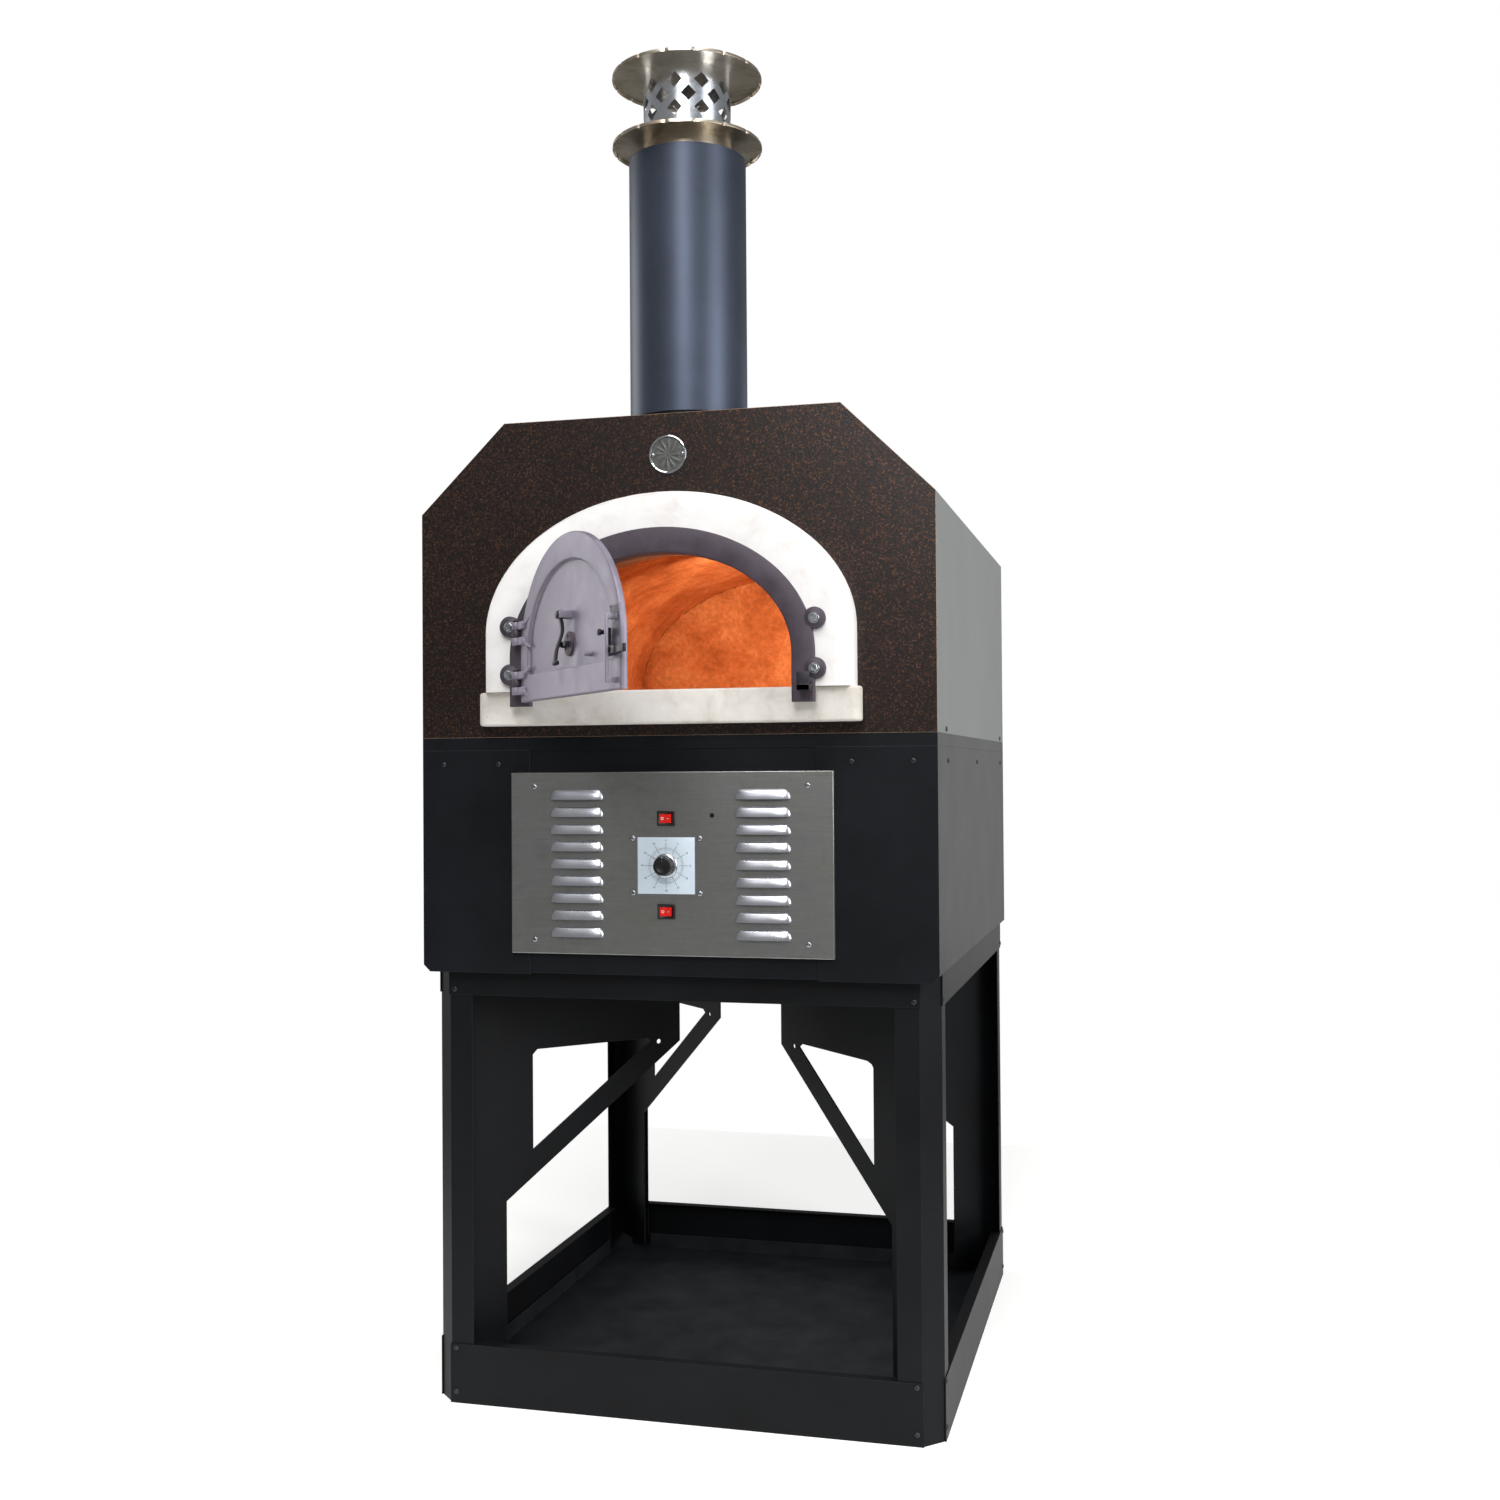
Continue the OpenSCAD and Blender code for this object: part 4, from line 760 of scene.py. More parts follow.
def hearth_bed(mesh):
    block(mesh, (BOARD_LOW.x, BOARD_LOW.y, BOARD_HIGH.z), (BOARD_HIGH.x, BOARD_HIGH.y, HEARTH_Z), 1 * MM, 2)
    block(mesh, (-LIP_HALF_W + 15 * MM, HOOD_FRONT_Y - 3 * MM, BOARD_HIGH.z + 0.1 * MM),
          (LIP_HALF_W - 15 * MM, BOARD_LOW.y + 5 * MM, HEARTH_Z - 0.1 * MM))


def hearth_bores(mesh):
    for low, high, gap in ((BURNER_LOW, BURNER_HIGH, -8 * MM), (IGNITER_LOW, IGNITER_HIGH, 2 * MM)):
        middle = (low + high) / 2
        r = (high.x - low.x) / 2 + gap
        lathe(mesh, [(r, 0), (r, 0.2)], (middle.x, middle.y, BOARD_HIGH.z - 0.05), UP, 48)


lip_stone = cast_stone("off_white_cast_hearth_slab", ("#c9c2b8", "#ddd8d0", "#e9e5df"), 2.2, 0.5, 3.0, 0.22,
                       "#8f8470", 0.8, patch_mm=60)
bed_stone = cast_stone("baked_tan_hearth_bed", ("#b98a63", "#d9ab80", "#e8c5a0"), 2.0, 0.3, 2.5, 0.10,
                       "#6a4630", 0.5, 0.8, 140)
silicate_board = cast_stone("calcium_silicate_board", ("#bdb8aa", "#cbc6b8", "#d8d3c6"), 3.0, 0.3, 3, 0.1,
                            "#a39d8d", 0.3)
build("hearth_slab_lip", slab_lip, lip_stone, "hearth_slab")
bed = build("hearth_slab_bed", hearth_bed, bed_stone, "hearth_slab")
cut_away(bed, hearth_bores)
dress(silicate_board, "insulation_board")

# Arch surround: white cast refractory with a square outer edge, a broad bevel and a flat face,
# cast with a spigot that passes through the hood. Bright, lightly scuffed, with soft arrises.
SURROUND_LOW, SURROUND_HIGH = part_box("arch_surround")
SURROUND_SIDE = 97 * MM
SURROUND_EDGE = 25 * MM
SURROUND_BEVEL = 12 * MM
MOUTH_HALF_W = 225 * MM
MOUTH_H = 225 * MM
MOUTH_SIDE = 55 * MM
ARCH_STEPS = 72
LEG_STEPS = 8


def arch(half_w, low, spring, top):
    """Points (x, z) of an arch from left to right: straight legs, then a half ellipse."""
    left = [(-half_w, low + (spring - low) * i / LEG_STEPS) for i in range(LEG_STEPS)]
    turns = [math.pi * (1 - i / ARCH_STEPS) for i in range(ARCH_STEPS + 1)]
    crown = [(half_w * math.cos(a), spring + (top - spring) * math.sin(a)) for a in turns]
    return left + crown + [(-x, z) for x, z in reversed(left)]


def surround_outline(inset):
    return arch(SURROUND_HIGH.x - inset, HEARTH_Z, HEARTH_Z + SURROUND_SIDE, SURROUND_HIGH.z - inset)


def mouth_outline(grow, low):
    return arch(MOUTH_HALF_W + grow, low, HEARTH_Z + MOUTH_SIDE, HEARTH_Z + MOUTH_H + grow)


def blend(a, b, share):
    """The outline a share of the way from outline a to outline b."""
    return [(x0 + (x1 - x0) * share, z0 + (z1 - z0) * share) for (x0, z0), (x1, z1) in zip(a, b)]


def at_depth(outline, y, reach=0.0):
    """An outline (x, z) set at a depth, strayed towards the middle of the arch like a cast edge."""
    row = []
    for x, z in outline:
        stray = wander((x, y, z), reach) if reach else 0.0
        length = math.hypot(x, z - HEARTH_Z) or 1.0
        row.append((x * (1 - stray / length), y, max(HEARTH_Z, z - stray * (z - HEARTH_Z) / length)))
    return row


def surround(mesh):
    """Rows from the spigot out over the edge and the bevel, across the face and in at the mouth."""
    back, face = SURROUND_HIGH.y, SURROUND_LOW.y
    sheet_y = HOOD_FRONT_Y - 0.2 * MM
    edge_y = HOOD_FRONT_Y - SURROUND_EDGE
    soft = 3 * MM
    rough = 0.8 * MM
    inner = mouth_outline(8 * MM, HEARTH_Z)
    bevel_end = surround_outline(SURROUND_BEVEL)
    rows = [at_depth(surround_outline(inset), y, reach) for inset, y, reach in (
        (30 * MM, back, 0), (30 * MM, sheet_y, 0), (0, sheet_y, rough), (0, edge_y + 2 * MM, rough),
        (0.3 * MM, edge_y, rough), (0.9 * MM, edge_y - 2 * MM, rough),
        (SURROUND_BEVEL * 0.55, (edge_y + face) / 2, rough),
        (SURROUND_BEVEL - 1.2 * MM, face + soft, 1.2 * MM),
        (SURROUND_BEVEL - 0.1 * MM, face + soft * 0.3, 1.2 * MM),
        (SURROUND_BEVEL + soft * 0.8, face, 0.6 * MM))]
    rows += [at_depth(blend(bevel_end, inner, s), face) for s in (0.25, 0.5, 0.75, 0.96)]
    rows += [at_depth(blend(bevel_end, inner, 0.99), face + 0.6 * MM), at_depth(inner, face + soft),
             at_depth(inner, (face + back) / 2), at_depth(inner, back)]
    skin(mesh, rows, along=True)


arch_stone = cast_stone("white_cast_refractory_arch", ("#e2dedb", "#f1efed", "#f8f6f5"), 2.0, 0.35, 2.5, 0.08,
                        "#b8b0a4", 0.5, patch_mm=85)
build("arch_surround_casting", surround, arch_stone, "arch_surround", sharp=50)

# Oven body: the vault and its rear wall, cast in terracotta-coloured refractory that the fire
# has stained, with open pits, trowel clouds and a ragged dark joint where the two meet. A white
# ceramic fibre blanket lies over them inside the hood.
REAR_WALL_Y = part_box("rear_wall")[0].y


def fired_refractory(name):
    material = cast_stone(name, ("#9c5a34", "#bd7a4e", "#d69a6c"), 4.0, 0.8, 4.5, 0.13, "#4a2816", 1.6,
                          0.88, 110)
    tree = material.node_tree
    shader = tree.nodes["Principled BSDF"]
    here = object_space(tree)
    ragged = add(tree, "TexNoise", {"Vector": here, "Scale": 1 / (14 * MM), "Detail": 5.0}).outputs["Fac"]
    depth = add(tree, "SeparateXYZ", {"Vector": here}).outputs["Y"]
    near = add(tree, "Math", {0: REAR_WALL_Y - 0.3 * MM, 1: depth}, operation="SUBTRACT").outputs["Value"]
    before = add(tree, "Math", {0: near, 1: 0.0}, operation="GREATER_THAN").outputs["Value"]
    width = add(tree, "MapRange", {"Value": ragged, "From Min": 0.42, "From Max": 0.62, "To Max": 5 * MM})
    close = add(tree, "Math", {0: near, 1: width.outputs["Result"]}, operation="LESS_THAN").outputs["Value"]
    joint = add(tree, "Math", {0: close, 1: before}, operation="MULTIPLY").outputs["Value"]
    was = shader.inputs["Base Color"].links[0].from_socket
    fine = add(tree, "TexNoise", {"Vector": here, "Scale": 1 / (9 * MM), "Detail": 4.0, "Roughness": 0.75})
    fleck = add(tree, "MapRange", {"Value": fine.outputs["Fac"], "From Min": 0.35, "From Max": 0.68,
                                   "To Min": 0.78, "To Max": 1.18}).outputs["Result"]
    flecked = add(tree, "VectorMath", {0: was, 1: fleck}, operation="MULTIPLY").outputs["Vector"]
    joined = add(tree, "Mix", {"Factor": joint, 6: flecked, 7: linear("#2a150b")}, data_type="RGBA")
    feed(shader, Base_Color=joined.outputs[2])
    return material


fibre_blanket = cast_stone("white_ceramic_fibre_blanket", ("#dad7d0", "#e6e4de", "#f0eee9"), 1.5, 0.8,
                           4, 0.05, "#cfccc4", 0.3, 0.95)
dress(fired_refractory("fired_terracotta_refractory"), "vault_shell", "rear_wall")
dress(fibre_blanket, "insulation_blanket")

# Hood: a front sheet in copper-vein powder coat, a dark brown ground under a web of fine copper
# flecks that glint one by one, its edges painted a pale copper as a highlight, and a wrapped skin
# and back in satin grey stoved steel. The real web is about half as coarse as VEIN_MM, too fine to show.
VEIN_MM = 3.2


def copper_vein(name):
    material, tree, shader = new_material(name, Coat_Weight=0.15, Coat_Roughness=0.25, Specular_IOR_Level=0.3)
    here = object_space(tree)
    cells = add(tree, "TexNoise", {"Vector": here, "Scale": 1 / (VEIN_MM * MM), "Detail": 3.0,
                                   "Roughness": 0.65})
    vein = add(tree, "ValToRGB", {"Fac": cells.outputs["Fac"]},
               [(0.40, "#100c0b"), (0.50, "#211816"), (0.58, "#3a2820"), (0.68, "#65493a")])
    clouds = add(tree, "TexNoise", {"Vector": here, "Scale": 1 / (150 * MM), "Detail": 3.0})
    shade = add(tree, "MapRange", {"Value": clouds.outputs["Fac"], "From Min": 0.3, "From Max": 0.7,
                                   "To Min": 0.88, "To Max": 1.12}).outputs["Result"]
    tone = add(tree, "VectorMath", {0: vein.outputs["Color"], 1: shade}, operation="MULTIPLY")
    # Edges are mixed towards a pale copper: a painted highlight, not a colour of the coat.
    near, rounded = worn_edges(tree, 1.2 * MM)
    painted_edge_highlight = add(tree, "Mix", {"Factor": near, 6: tone.outputs["Vector"], 7: linear("#c9a583")},
                data_type="RGBA")
    metal = add(tree, "MapRange", {"Value": cells.outputs["Fac"], "From Min": 0.46, "From Max": 0.62,
                                   "To Min": 0.0, "To Max": 0.6}).outputs["Result"]
    bump = add(tree, "Bump", {"Strength": 0.8, "Distance": 0.35 * MM, "Height": cells.outputs["Fac"],
                              "Normal": rounded})
    shader.inputs["Roughness"].default_value = 0.36
    feed(shader, Base_Color=painted_edge_highlight.outputs[2], Metallic=metal, Normal=bump.outputs["Normal"])
    return material


hood_grey = powder_coat("satin_grey_stoved_steel", "#686d6a", "#777c79", "#b4b8b6", 0.44, 1.6, 0.03, 320)
hood_grey.node_tree.nodes["Principled BSDF"].inputs["Metallic"].default_value = 0.2
dress(copper_vein("copper_vein_powder_coat"), "hood_front")
dress(hood_grey, "hood_skin", "hood_rear")

# Badge: a chromed ring round a plain grey cast disc with a rayed relief, held by two small
# bright screws at its sides.
BADGE_LOW, BADGE_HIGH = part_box("badge")
BADGE_R = (BADGE_HIGH.x - BADGE_LOW.x) / 2
BADGE_AT = Vector((0, HOOD_FRONT_Y - 0.1 * MM, (BADGE_LOW.z + BADGE_HIGH.z) / 2))
BADGE_T = BADGE_AT.y - BADGE_LOW.y
BADGE_RAYS = 12


def badge_ring(mesh):
    section = [(BADGE_R - 0.4 * MM, 0), (BADGE_R, BADGE_T * 0.5), (BADGE_R - 0.8 * MM, BADGE_T * 0.88),
               (BADGE_R - 2.2 * MM, BADGE_T), (BADGE_R - 3.8 * MM, BADGE_T * 0.85),
               (BADGE_R - 4.6 * MM, BADGE_T * 0.4), (BADGE_R - 4.6 * MM, 0)]
    lathe(mesh, section, BADGE_AT, FORWARD, 72, along=True)


def badge_disc(mesh):
    """A shallow dish with twelve low rays, finer towards the middle."""
    count, rings = 96, 10
    rows = []
    for k in range(rings + 1):
        r = (BADGE_R - 4.4 * MM) * (1 - k / rings) + 1.2 * MM * (k / rings)
        row = []
        for a in full_turn(count):
            crest = max(0.0, math.cos(BADGE_RAYS * a + 2.0 * k / rings))
            ray = crest * math.sin(math.pi * min(1.0, 1.15 * k / rings))
            out = 1.3 * MM + 0.45 * MM * ray
            row.append((BADGE_AT.x + r * math.cos(a), BADGE_AT.y - out, BADGE_AT.z + r * math.sin(a)))
        rows.append(row)
    rows.insert(0, [(x, BADGE_AT.y, z) for x, y, z in rows[0]])
    skin(mesh, rows, around=True)


def badge_screws(mesh):
    for side in (-1, 1):
        lathe(mesh, mm((3.2, 0), (3.2, 0.8), (2.2, 1.7), (0.6, 2.0)),
              BADGE_AT + Vector((side * (BADGE_R - 7 * MM), -BADGE_T * 0.45, 0)), FORWARD, 24)


chrome = plain_finish("chromed_brass_ring", "#e3e6ea", 0.10, 2.0, 0.01, 0.03, metal=1.0)
badge_grey = plain_finish("cast_zinc_badge_disc", "#5d5e5b", 0.45, 0.8, 0.05, 0.18, metal=0.7, patch_mm=6)
bright_zinc = plain_finish("bright_zinc_plate", "#a9acb0", 0.30, 0.6, 0.01, 0.1, metal=1.0, patch_mm=5)
build("badge_ring", badge_ring, chrome, "badge")
build("badge_disc", badge_disc, badge_grey, "badge", sharp=60)
build("badge_screws", badge_screws, bright_zinc, "badge")

# Flue: a stainless inner pipe in an outer sleeve rolled from black-painted steel, on a dark ring
# at its foot. The cap has two spun stainless discs, brown under the heat, with rolled and crimped
# rims, and between them a bright screen punched with diamonds.
SLEEVE_LOW, SLEEVE_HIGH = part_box("outer_sleeve")
FLUE_AT = Vector((0, (SLEEVE_LOW.y + SLEEVE_HIGH.y) / 2, 0))
DISC_LOW, DISC_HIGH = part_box("cap_top_disc")
BASE_LOW, BASE_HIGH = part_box("cap_base")
FLUE_R = 76 * MM
DISC_R = (DISC_HIGH.x - DISC_LOW.x) / 2
DISC_T = 1.2 * MM
RIM_DROP = 5 * MM
CRIMPS = 16


def disc(mesh, inner_r, under_z):
    """A spun disc whose rim is turned down and crimped in at even places."""
    count = CRIMPS * 12
    top_z = under_z + DISC_T
    profile = [(inner_r, under_z, 0), (inner_r * 0.5 + DISC_R * 0.5, under_z, 0),
               (DISC_R - 6 * MM, under_z, 0),
               (DISC_R - 2.2 * MM, under_z - 0.8 * MM, 0.6), (DISC_R - DISC_T, under_z - RIM_DROP, 1),
               (DISC_R, under_z - RIM_DROP, 1), (DISC_R, under_z - 1.2 * MM, 0.9),
               (DISC_R - 0.8 * MM, top_z - 0.5 * MM, 0.5), (DISC_R - 2.5 * MM, top_z, 0.2),
               (DISC_R - 7 * MM, top_z, 0), (inner_r, top_z, 0)]
    rows = []
    for radius, z, crimped in profile:
        row = []
        for a in full_turn(count):
            notch = max(0.0, math.cos(CRIMPS * a) - 0.86) / 0.14
            r = radius - 2.6 * MM * crimped * notch
            row.append((r * math.cos(a), FLUE_AT.y + r * math.sin(a), z))
        rows.append(row)
    skin(mesh, rows, around=True, along=inner_r > 1 * MM)


def cap_base(mesh):
    disc(mesh, FLUE_R - 2 * MM, BASE_HIGH.z - DISC_T)
    collar = FLUE_R + 1.5 * MM
    low, high = BASE_LOW.z, BASE_HIGH.z - 1 * MM
    section = [(collar, low), (collar, high), (collar - DISC_T, high), (collar - DISC_T, low)]
    lathe(mesh, section, (0, FLUE_AT.y, 0), UP, 72, along=True)


def cap_top(mesh):
    disc(mesh, 0.5 * MM, DISC_HIGH.z - DISC_T)


sleeve_paint = powder_coat("satin_charcoal_stove_paint", "#3d434e", "#4a5160", "#7a8494", 0.42, 1.8, 0.03,
                           260)
sleeve_paint.node_tree.nodes["Principled BSDF"].inputs["Metallic"].default_value = 0.6
cap_steel = brushed_steel("heat_browned_spun_stainless", "#d6ccba", "#a3927e", 0.34, 1.8, 3)
dress(sleeve_paint, "outer_sleeve")
dress(powder_coat("matt_black_stove_paint", "#101113", "#1a1b1e", "#3a3c40", 0.55, 2.0, 0.05), "flue_collar")
dress(brushed_steel("rolled_stainless_flue", "#c4c7cb", "#9b9ea3", 0.24, 1.8, 12), "inner_flue")
dress(brushed_steel("bright_punched_stainless", "#eef2f8", "#ccd3dd", 0.20, 1.8, 12), "cap_screen")
build("cap_base_disc", cap_base, cap_steel, "cap_base")
build("cap_top_spun_disc", cap_top, cap_steel, "cap_top_disc")

# Mouth frame: one grey iron casting bolted to the arch, with four round ears, two hinge lugs, a
# foot at each side, a keeper for the latch and a thin ring that lines the bore. Sand-cast skin
# under a dull violet-grey stove blacking.
HINGE_LOW, HINGE_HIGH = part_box("hinge_pins")
HINGE = (HINGE_LOW + HINGE_HIGH) / 2
HINGE_ZS = (HEARTH_Z + 12 * MM, HEARTH_Z + 95 * MM)
EAR_ZS = (HEARTH_Z + 28 * MM, HEARTH_Z + 109 * MM)
FRAME_BACK = SURROUND_LOW.y - 0.05 * MM
FRAME_FRONT = FRAME_BACK - 10 * MM
FRAME_W = 38 * MM
FRAME_CROWN_W = 42 * MM
FRAME_FOOT = HEARTH_Z - 26 * MM
EAR_X = MOUTH_HALF_W + FRAME_W
KNUCKLE_R = 8 * MM
LUG_H = 12 * MM


def cast_iron(name, dark, light, worn, rough=0.56):
    """Sand-cast iron: a fine pebbled skin, faint clouds of oxide, and edges rubbed paler."""
    material, tree, shader = new_material(name, Metallic=0.35)
    here = object_space(tree)
    clouds = add(tree, "TexNoise", {"Vector": here, "Scale": 1 / (38 * MM), "Detail": 5.0, "Roughness": 0.6})
    tone = add(tree, "ValToRGB", {"Fac": clouds.outputs["Fac"]}, [(0.32, dark), (0.68, light)])
    near, rounded = worn_edges(tree, 1.2 * MM)
    edge_lightening = add(tree, "Math", {0: near, 1: 0.6}, operation="MULTIPLY").outputs["Value"]
    mixed = add(tree, "Mix", {"Factor": edge_lightening, 6: tone.outputs["Color"], 7: linear(worn)}, data_type="RGBA")
    gloss = add(tree, "MapRange", {"Value": clouds.outputs["Fac"], "From Min": 0.3, "From Max": 0.7,
                                   "To Min": rough - 0.06, "To Max": rough + 0.10})
    sand = add(tree, "TexNoise", {"Vector": here, "Scale": 1 / (1.6 * MM), "Detail": 4.0, "Roughness": 0.6})
    bump = add(tree, "Bump", {"Strength": 0.55, "Distance": 0.22 * MM, "Height": sand.outputs["Fac"],
                              "Normal": rounded})
    feed(shader, Base_Color=mixed.outputs[2], Roughness=gloss.outputs["Result"],
         Normal=bump.outputs["Normal"])
    return material


def soft_plate(outer, inner, front, back, r, width):
    """Rows for a flat cast bar between two outlines, its front edges rounded by r."""
    soft = r / width
    depths = ((0, back), (0, front + r), (0.3 * soft, front + 0.3 * r), (soft, front), (1 - soft, front),
              (1 - 0.3 * soft, front + 0.3 * r), (1, front + r), (1, back))
    return [[(x, y, z) for x, z in blend(outer, inner, share)] for share, y in depths]


def frame_casting(mesh):
    outer = arch(MOUTH_HALF_W + FRAME_W, FRAME_FOOT, HEARTH_Z + MOUTH_SIDE,
                 HEARTH_Z + MOUTH_H + FRAME_CROWN_W)
    inner = mouth_outline(0, FRAME_FOOT)
    r = 2.5 * MM
    skin(mesh, soft_plate(outer, inner, FRAME_FRONT, FRAME_BACK, r, FRAME_W), along=True)
    ring = [(mouth_outline(grow, HEARTH_Z + 0.3 * MM), y) for grow, y in
            ((0, FRAME_BACK - 1 * MM), (0, SURROUND_LOW.y + 24 * MM), (5 * MM, SURROUND_LOW.y + 24 * MM),
             (5 * MM, FRAME_BACK - 1 * MM))]
    skin(mesh, [[(x, y, z) for x, z in outline] for outline, y in ring], along=True)


def knuckle(mesh, z, low, high, edge):
    """A length of the hinge's barrel from low to high about z, its two edges broken."""
    lathe(mesh, [(KNUCKLE_R - edge, low), (KNUCKLE_R, low + edge), (KNUCKLE_R, high - edge),
                 (KNUCKLE_R - edge, high)], (HINGE.x, HINGE.y, z), UP, 32)


def frame_fittings(mesh):
    """The four ears, and the two lugs that carry the hinge pins."""
    for side in (-1, 1):
        for z in EAR_ZS:
            lathe(mesh, mm((18, 0), (18, 7.5), (17.2, 9.4), (15.5, 10.3), (12.5, 10.5), (12, 11), (1, 11)),
                  (side * EAR_X, FRAME_BACK, z), FORWARD, 48)
    half = LUG_H / 2
    for z in HINGE_ZS:
        block(mesh, (HINGE.x - KNUCKLE_R, HINGE.y, z - half),
              (HINGE.x + 4 * MM, FRAME_FRONT + 1 * MM, z + half), 1.2 * MM)
        knuckle(mesh, z, -half, half, 0.6 * MM)


def keeper(mesh):
    """A hook of iron bar on the right leg: a foot, a shelf and an upright lip, as pairs of (y, z)."""
    x0, x1, low = MOUTH_HALF_W + 15 * MM, MOUTH_HALF_W + 36 * MM, HEARTH_Z - 3 * MM
    for a, b in (mm((-9, 0), (1, 10)), mm((-29, -6), (-8, 4)), mm((-29, -6), (-24, 24))):
        block(mesh, (x0, FRAME_FRONT + a[0], low + a[1]), (x1, FRAME_FRONT + b[0], low + b[1]), 1.2 * MM)


frame_iron = cast_iron("violet_grey_cast_iron_frame", "#423a42", "#544a54", "#837a83")
build("mouth_frame_casting", frame_casting, frame_iron, "door_frame", sharp=50)
build("mouth_frame_ears_and_lugs", frame_fittings, frame_iron, "door_frame", sharp=50)
dark_iron = cast_iron("blackened_iron_fittings", "#211f24", "#2f2c33", "#5b5762", 0.42)
build("latch_keeper", keeper, dark_iron, "door_frame", sharp=50)

# Frame bolts: four zinc-plated hex heads on plain washers, one through each ear, turned as they
# were left by the spanner.


def frame_bolt_heads(mesh):
    for side in (-1, 1):
        for n, z in enumerate(EAR_ZS):
            at = Vector((side * EAR_X, FRAME_FRONT - 0.9 * MM, z))
            lathe(mesh, mm((9, 0), (9, 1.0), (8.6, 1.4), (2, 1.4)), at, FORWARD, 32)
            head = bmesh.new()
            lathe(head, mm((7, 1.2), (7, 4.0), (6.2, 4.6), (3.4, 4.6), (3.0, 4.0), (0.5, 4.0)), at,
                  FORWARD, 6)
            turn = Matrix.Rotation(0.3 + 0.5 * n + side, 3, "Y")
            bmesh.ops.rotate(head, cent=at, matrix=turn, verts=head.verts)
            merge(mesh, head)


build("frame_bolt_heads", frame_bolt_heads, bright_zinc, "frame_bolts")

# Door: an arched iron casting with a raised border and foot strip round a sunk field. Cast on it
# are the hinge knuckles with their ribs, the latch's pad and guide bar, and the handle's lugs.
# Paler than the frame, and hung open on two pins as it stands at rest.
DOOR_OPEN = math.radians(50)
DOOR_FRONT = HINGE.y + 4 * MM
DOOR_BACK = DOOR_FRONT + 10 * MM
DOOR_FIELD = DOOR_FRONT + 6 * MM
DOOR_HALF_W = MOUTH_HALF_W + 8 * MM
DOOR_FOOT = HEARTH_Z - 20 * MM
DOOR_TOP = HEARTH_Z + MOUTH_H + 8 * MM
DOOR_BORDER = 36 * MM
DOOR_STRIP = 44 * MM
BARREL_STEP = 13 * MM
VENT_Z = HEARTH_Z + 61 * MM
LATCH_X = DOOR_HALF_W - 33 * MM
LATCH_Z = HEARTH_Z + 37 * MM
HANDLE_Z = HEARTH_Z + 106 * MM
HANDLE_Y = DOOR_FIELD - 16 * MM
BAR_X = DOOR_HALF_W - 20 * MM
PORT_RING_R = 11 * MM
LEAF_PORT_R = 5
PORT_PLACES = [(PORT_RING_R * math.cos(a), VENT_Z + PORT_RING_R * math.sin(a))
               for a in map(math.radians, (90, 210, 330))]


def swing(mesh):
    """Swings pieces drawn on the closed door out to where the door stands."""
    turn = Matrix.Rotation(-DOOR_OPEN, 3, "Z")
    bmesh.ops.rotate(mesh, cent=(HINGE.x, HINGE.y, 0), matrix=turn, verts=mesh.verts)


def rod(mesh, x, z, r, front, back, soft=0.6 * MM, count=24):
    """A round boss standing out of the door from back to front, its rim rounded."""
    length = back - front
    profile = [(r, 0), (r, length - soft), (r - 0.3 * soft, length - 0.3 * soft), (r - soft, length),
               (0.2 * MM, length)]
    lathe(mesh, profile, (x, back, z), FORWARD, count)


def door_leaf(mesh):
    spring = HEARTH_Z + MOUTH_SIDE
    outer = arch(DOOR_HALF_W, DOOR_FOOT, spring, DOOR_TOP)
    recess = arch(DOOR_HALF_W - DOOR_BORDER, DOOR_FOOT + DOOR_STRIP, spring, DOOR_TOP - DOOR_BORDER - 6 * MM)
    soft, r = 2 * MM, 2 * MM / DOOR_BORDER
    depths = [(0.02, DOOR_BACK), (0, DOOR_BACK - 1 * MM), (0, DOOR_FRONT + soft),
              (0.3 * r, DOOR_FRONT + 0.3 * soft), (r, DOOR_FRONT), (1 - r, DOOR_FRONT),
              (1 - 0.3 * r, DOOR_FRONT + 0.3 * soft), (1, DOOR_FRONT + soft),
              (1.02, DOOR_FIELD - 0.8 * MM), (1.06, DOOR_FIELD)]
    rows = [[(x, y, z) for x, z in blend(outer, recess, share)] for share, y in depths]
    skin(mesh, rows, around=True)
    swing(mesh)


def port_bores(mesh, r, back, y):
    """The three round ports, r in radius, from back behind y to 12 mm in front of it."""
    for x, z in PORT_PLACES:
        lathe(mesh, mm((r, -back), (r, 12)), (x, y, z), FORWARD, 24)
    swing(mesh)


def rib(mesh, start, end, half_w, height):
    """A tapered rib on the door's border between two points (x, z)."""
    a, b = Vector(start), Vector(end)
    side = (b - a).normalized().orthogonal()
    rows = []
    for share, wide, tall in ((0.0, 1.0, 1.0), (0.35, 0.9, 0.8), (0.7, 0.7, 0.45), (1.0, 0.4, 0.0)):
        p = a.lerp(b, share)
        foot, crest = DOOR_FRONT + 0.5 * MM, DOOR_FRONT - height * tall
        rows.append([(p.x + side.x * w * half_w * wide, y, p.y + side.y * w * half_w * wide)
                     for w, y in ((-1, foot), (-0.6, crest), (0.6, crest), (1, foot))])
    skin(mesh, rows, around=True)


def boss(mesh, x0, y0, z0, x1, y1, z1, rounding=1.5 * MM):
    """A rounded block between two corners given one after the other."""
    block(mesh, (x0, y0, z0), (x1, y1, z1), rounding)


